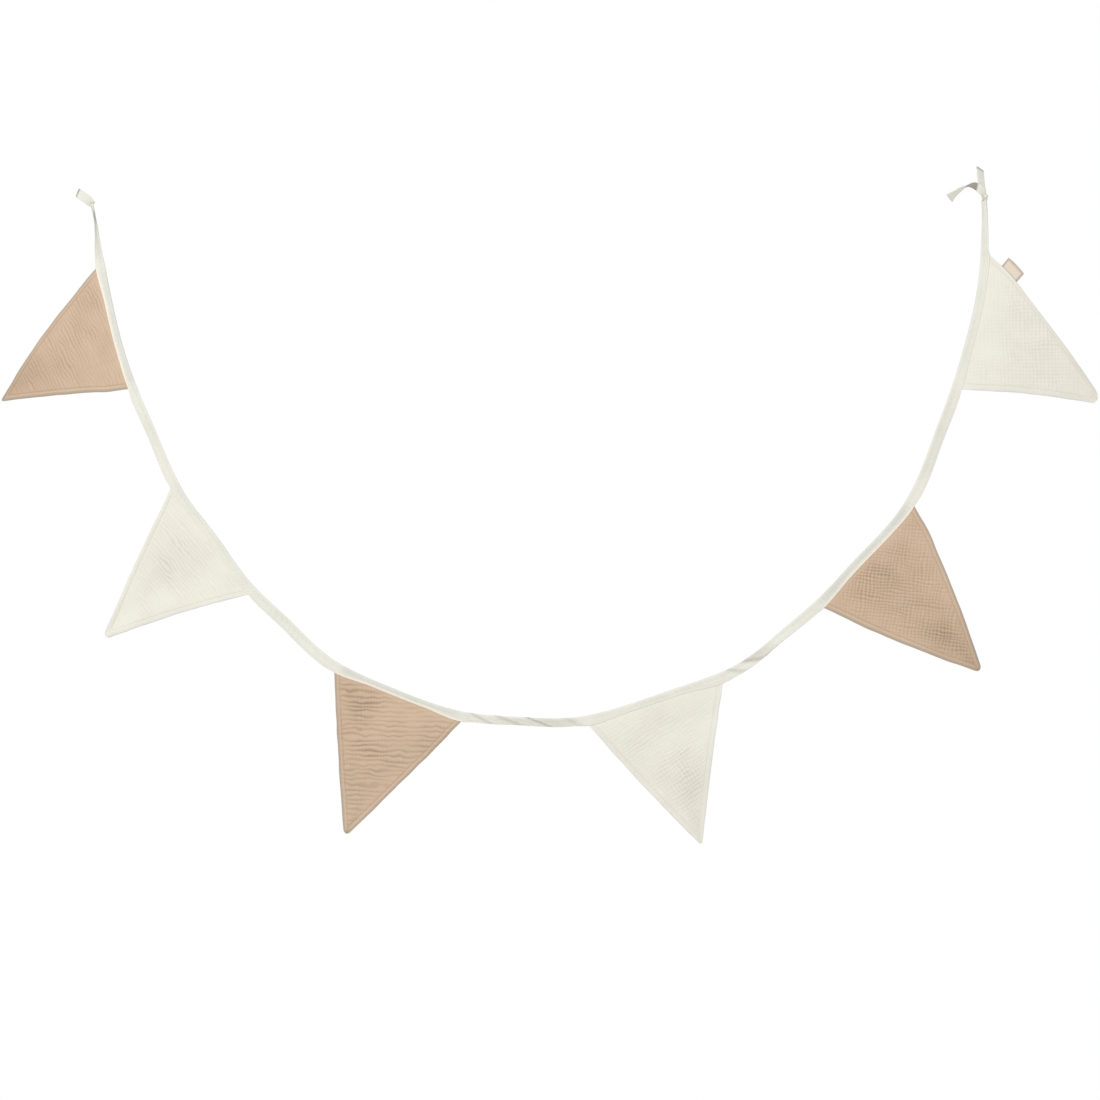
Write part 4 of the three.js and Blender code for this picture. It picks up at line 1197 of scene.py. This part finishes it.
def folded_run(middle, wide, width, gathered, seed):
    # The folded tape swept along a curve, its width cut down by gathers that run along it
    count = len(middle)
    way = np.gradient(middle, axis=0)
    way /= np.linalg.norm(way, axis=1, keepdims=True)
    thin = np.cross(way, wide)
    thin /= np.linalg.norm(thin, axis=1, keepdims=True)
    even_across, even_out = leaf_places(np.array([TAPE_WIDTH]), np.array([TIE_THICKNESS / 2]))
    fine = np.union1d(even_across[0], np.linspace(0.0, TAPE_WIDTH, GATHER_COLUMNS))
    full = np.interp(fine, even_across[0], even_out[0])
    across, out, leaf, _ = folded_over(np.tile(fine, (count, 1)), np.tile(full, (count, 1)), LEAF_THICKNESS)
    share = across / TAPE_WIDTH - 0.5
    walked = walked_along(middle)
    bend = lumps(walked[:, None] / GATHER_BEND_SIZE[0], across / GATHER_BEND_SIZE[1], seed)
    ridge = np.sin(2.0 * np.pi * (across / GATHER_PITCH + GATHER_BEND * bend))
    raised = GATHER_DEPTH * gathered[:, None] * ridge * (1.0 - (2.0 * share) ** 6)
    points = (
        middle[:, None, :]
        + wide[:, None, :] * (share * width[:, None])[..., None]
        + thin[:, None, :] * (out + raised)[..., None]
    )
    hollow = gathered[:, None] * (0.5 - 0.5 * ridge * leaf[None, :])
    flat = np.stack([np.broadcast_to(walked[:, None], across.shape), across * -leaf[None, :]], axis=-1)
    return points, hollow, flat, walked


def loose_end(rows, centre, shaded, cut_shade, underside_shadow, seed):
    # A free end of the tape from inside the knot to its cut edge, with painted shade where it turns from
    # the light, in its gathers, by its foot and at its cut edge, and a dark painted shadow on its
    # turned-under side
    shaped = smooth_rows(rows, TIE_STATIONS * (len(rows) - 1) // 2)
    middle, width = shaped[:, :3] + centre, shaped[:, 3]
    slope, roll = np.radians(shaped[:, 4]), np.radians(shaped[:, 5])
    wide = np.stack([np.cos(roll) * np.cos(slope), np.sin(roll), np.cos(roll) * np.sin(slope)], axis=1)
    gathered = 1.0 - ease(width, *GATHERED_WIDTHS)
    points, hollow, flat, walked = folded_run(middle, wide, width, gathered, seed)
    from_knot = walked[:, None]
    from_cut = walked[-1] - from_knot
    shade_from, shade_to, shade = shaded
    in_shade = ease(from_knot, shade_from - SHADE_FADE, shade_from)
    in_shade = in_shade * (1.0 - ease(from_knot, shade_to, shade_to + SHADE_FADE))
    at_foot = np.exp(-(((from_knot - FOOT_AT) / FOOT_SPREAD) ** 2))
    hollow = GATHER_SHADE * hollow + shade * in_shade + FOOT_SHADE * at_foot
    hollow = hollow + cut_shade * (1.0 - ease(from_cut, *CUT_EDGE))
    return points, hollow, flat, np.broadcast_to(underside_shadow * in_shade, hollow.shape)


def wrapped_turn(form, centre, seed):
    # The turn of tape round the gathers, its two ends tucked under it
    beside, above, across_view, through, width, tilt, turns = form
    angle = np.linspace(-0.5, turns * 2.0 - 0.5, TURN_POINTS) * np.pi
    slant = math.radians(tilt)
    from_end = np.minimum(angle - angle[0], angle[-1] - angle)
    tuck = 1.0 - TURN_TUCK * (1.0 - ease(from_end, 0.0, TURN_TUCK_ANGLE))
    flat_x = across_view * tuck * np.cos(angle)
    flat_y = through * tuck * np.sin(angle)
    middle = [beside + flat_x * math.cos(slant), flat_y, above - flat_x * math.sin(slant)]
    middle = np.stack(middle, axis=1) + centre
    wide = np.tile([math.sin(slant), 0.0, math.cos(slant)], (len(angle), 1))
    gathered = np.full(len(angle), TURN_GATHERED)
    points, hollow, flat, _ = folded_run(middle, wide, np.full(len(angle), width), gathered, seed)
    return points, TURN_SHADE * hollow, flat, 0.0 * hollow


def tie(name, replaced, parts):
    # One mesh of a knot's turn and its loose ends, each with its faces turned outwards
    points, faces, flat, hollow, under = [], [], [], [], []
    begin = 0
    for rings, deep, places, under_shadow in parts:
        skin = skin_of_rings(rings)
        vertices = rings.reshape(-1, 3)
        a, b, c, d = (vertices[skin[:, k]] for k in range(4))
        volume = np.einsum("ij,ij->i", a, np.cross(b, c)) + np.einsum("ij,ij->i", a, np.cross(c, d))
        skin = skin[:, ::-1] if volume.sum() < 0.0 else skin
        points.append(vertices)
        faces.append(skin + begin)
        flat.append(places.reshape(-1, 2))
        hollow.append(deep.ravel())
        under.append(under_shadow.ravel())
        begin += len(vertices)
    # the under mark carries the dark painted shadow on a turned-under face
    marks = {"hollow": np.concatenate(hollow), "under": np.concatenate(under)}
    marks["lip"] = marks["band"] = np.zeros(begin)
    piece = cloth_piece(name, np.vstack(points), np.vstack(faces), np.vstack(flat), marks, tape_paint)
    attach(piece, "root")
    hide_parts(replaced)


left_centre = np.zeros(3)
right_centre = tape_point(np.array([TAPE_LENGTH]), KNOT_PINCH_WIDTH / 2, 0.0)[0]
right_centre = np.array([right_centre[0], 0.0, right_centre[2] + KNOT_RISE])
tie(
    "left_knot_and_loose_end",
    "left_tie",
    [
        loose_end(LEFT_LOOSE_END, left_centre, LEFT_SHADE, LEFT_CUT_SHADE, 0.0, 81),
        wrapped_turn(LEFT_TURN, left_centre, 82),
    ],
)
tie(
    "right_knot_and_loose_ends",
    "right_tie",
    [
        loose_end(RIGHT_UPPER_END, right_centre, RIGHT_UPPER_SHADE, RIGHT_CUT_SHADE, 0.0, 83),
        loose_end(
            RIGHT_SIDE_END, right_centre, RIGHT_SIDE_SHADE, RIGHT_SIDE_CUT_SHADE, RIGHT_SIDE_UNDER_SHADOW, 84
        ),
        wrapped_turn(RIGHT_TURN, right_centre, 85),
    ],
)
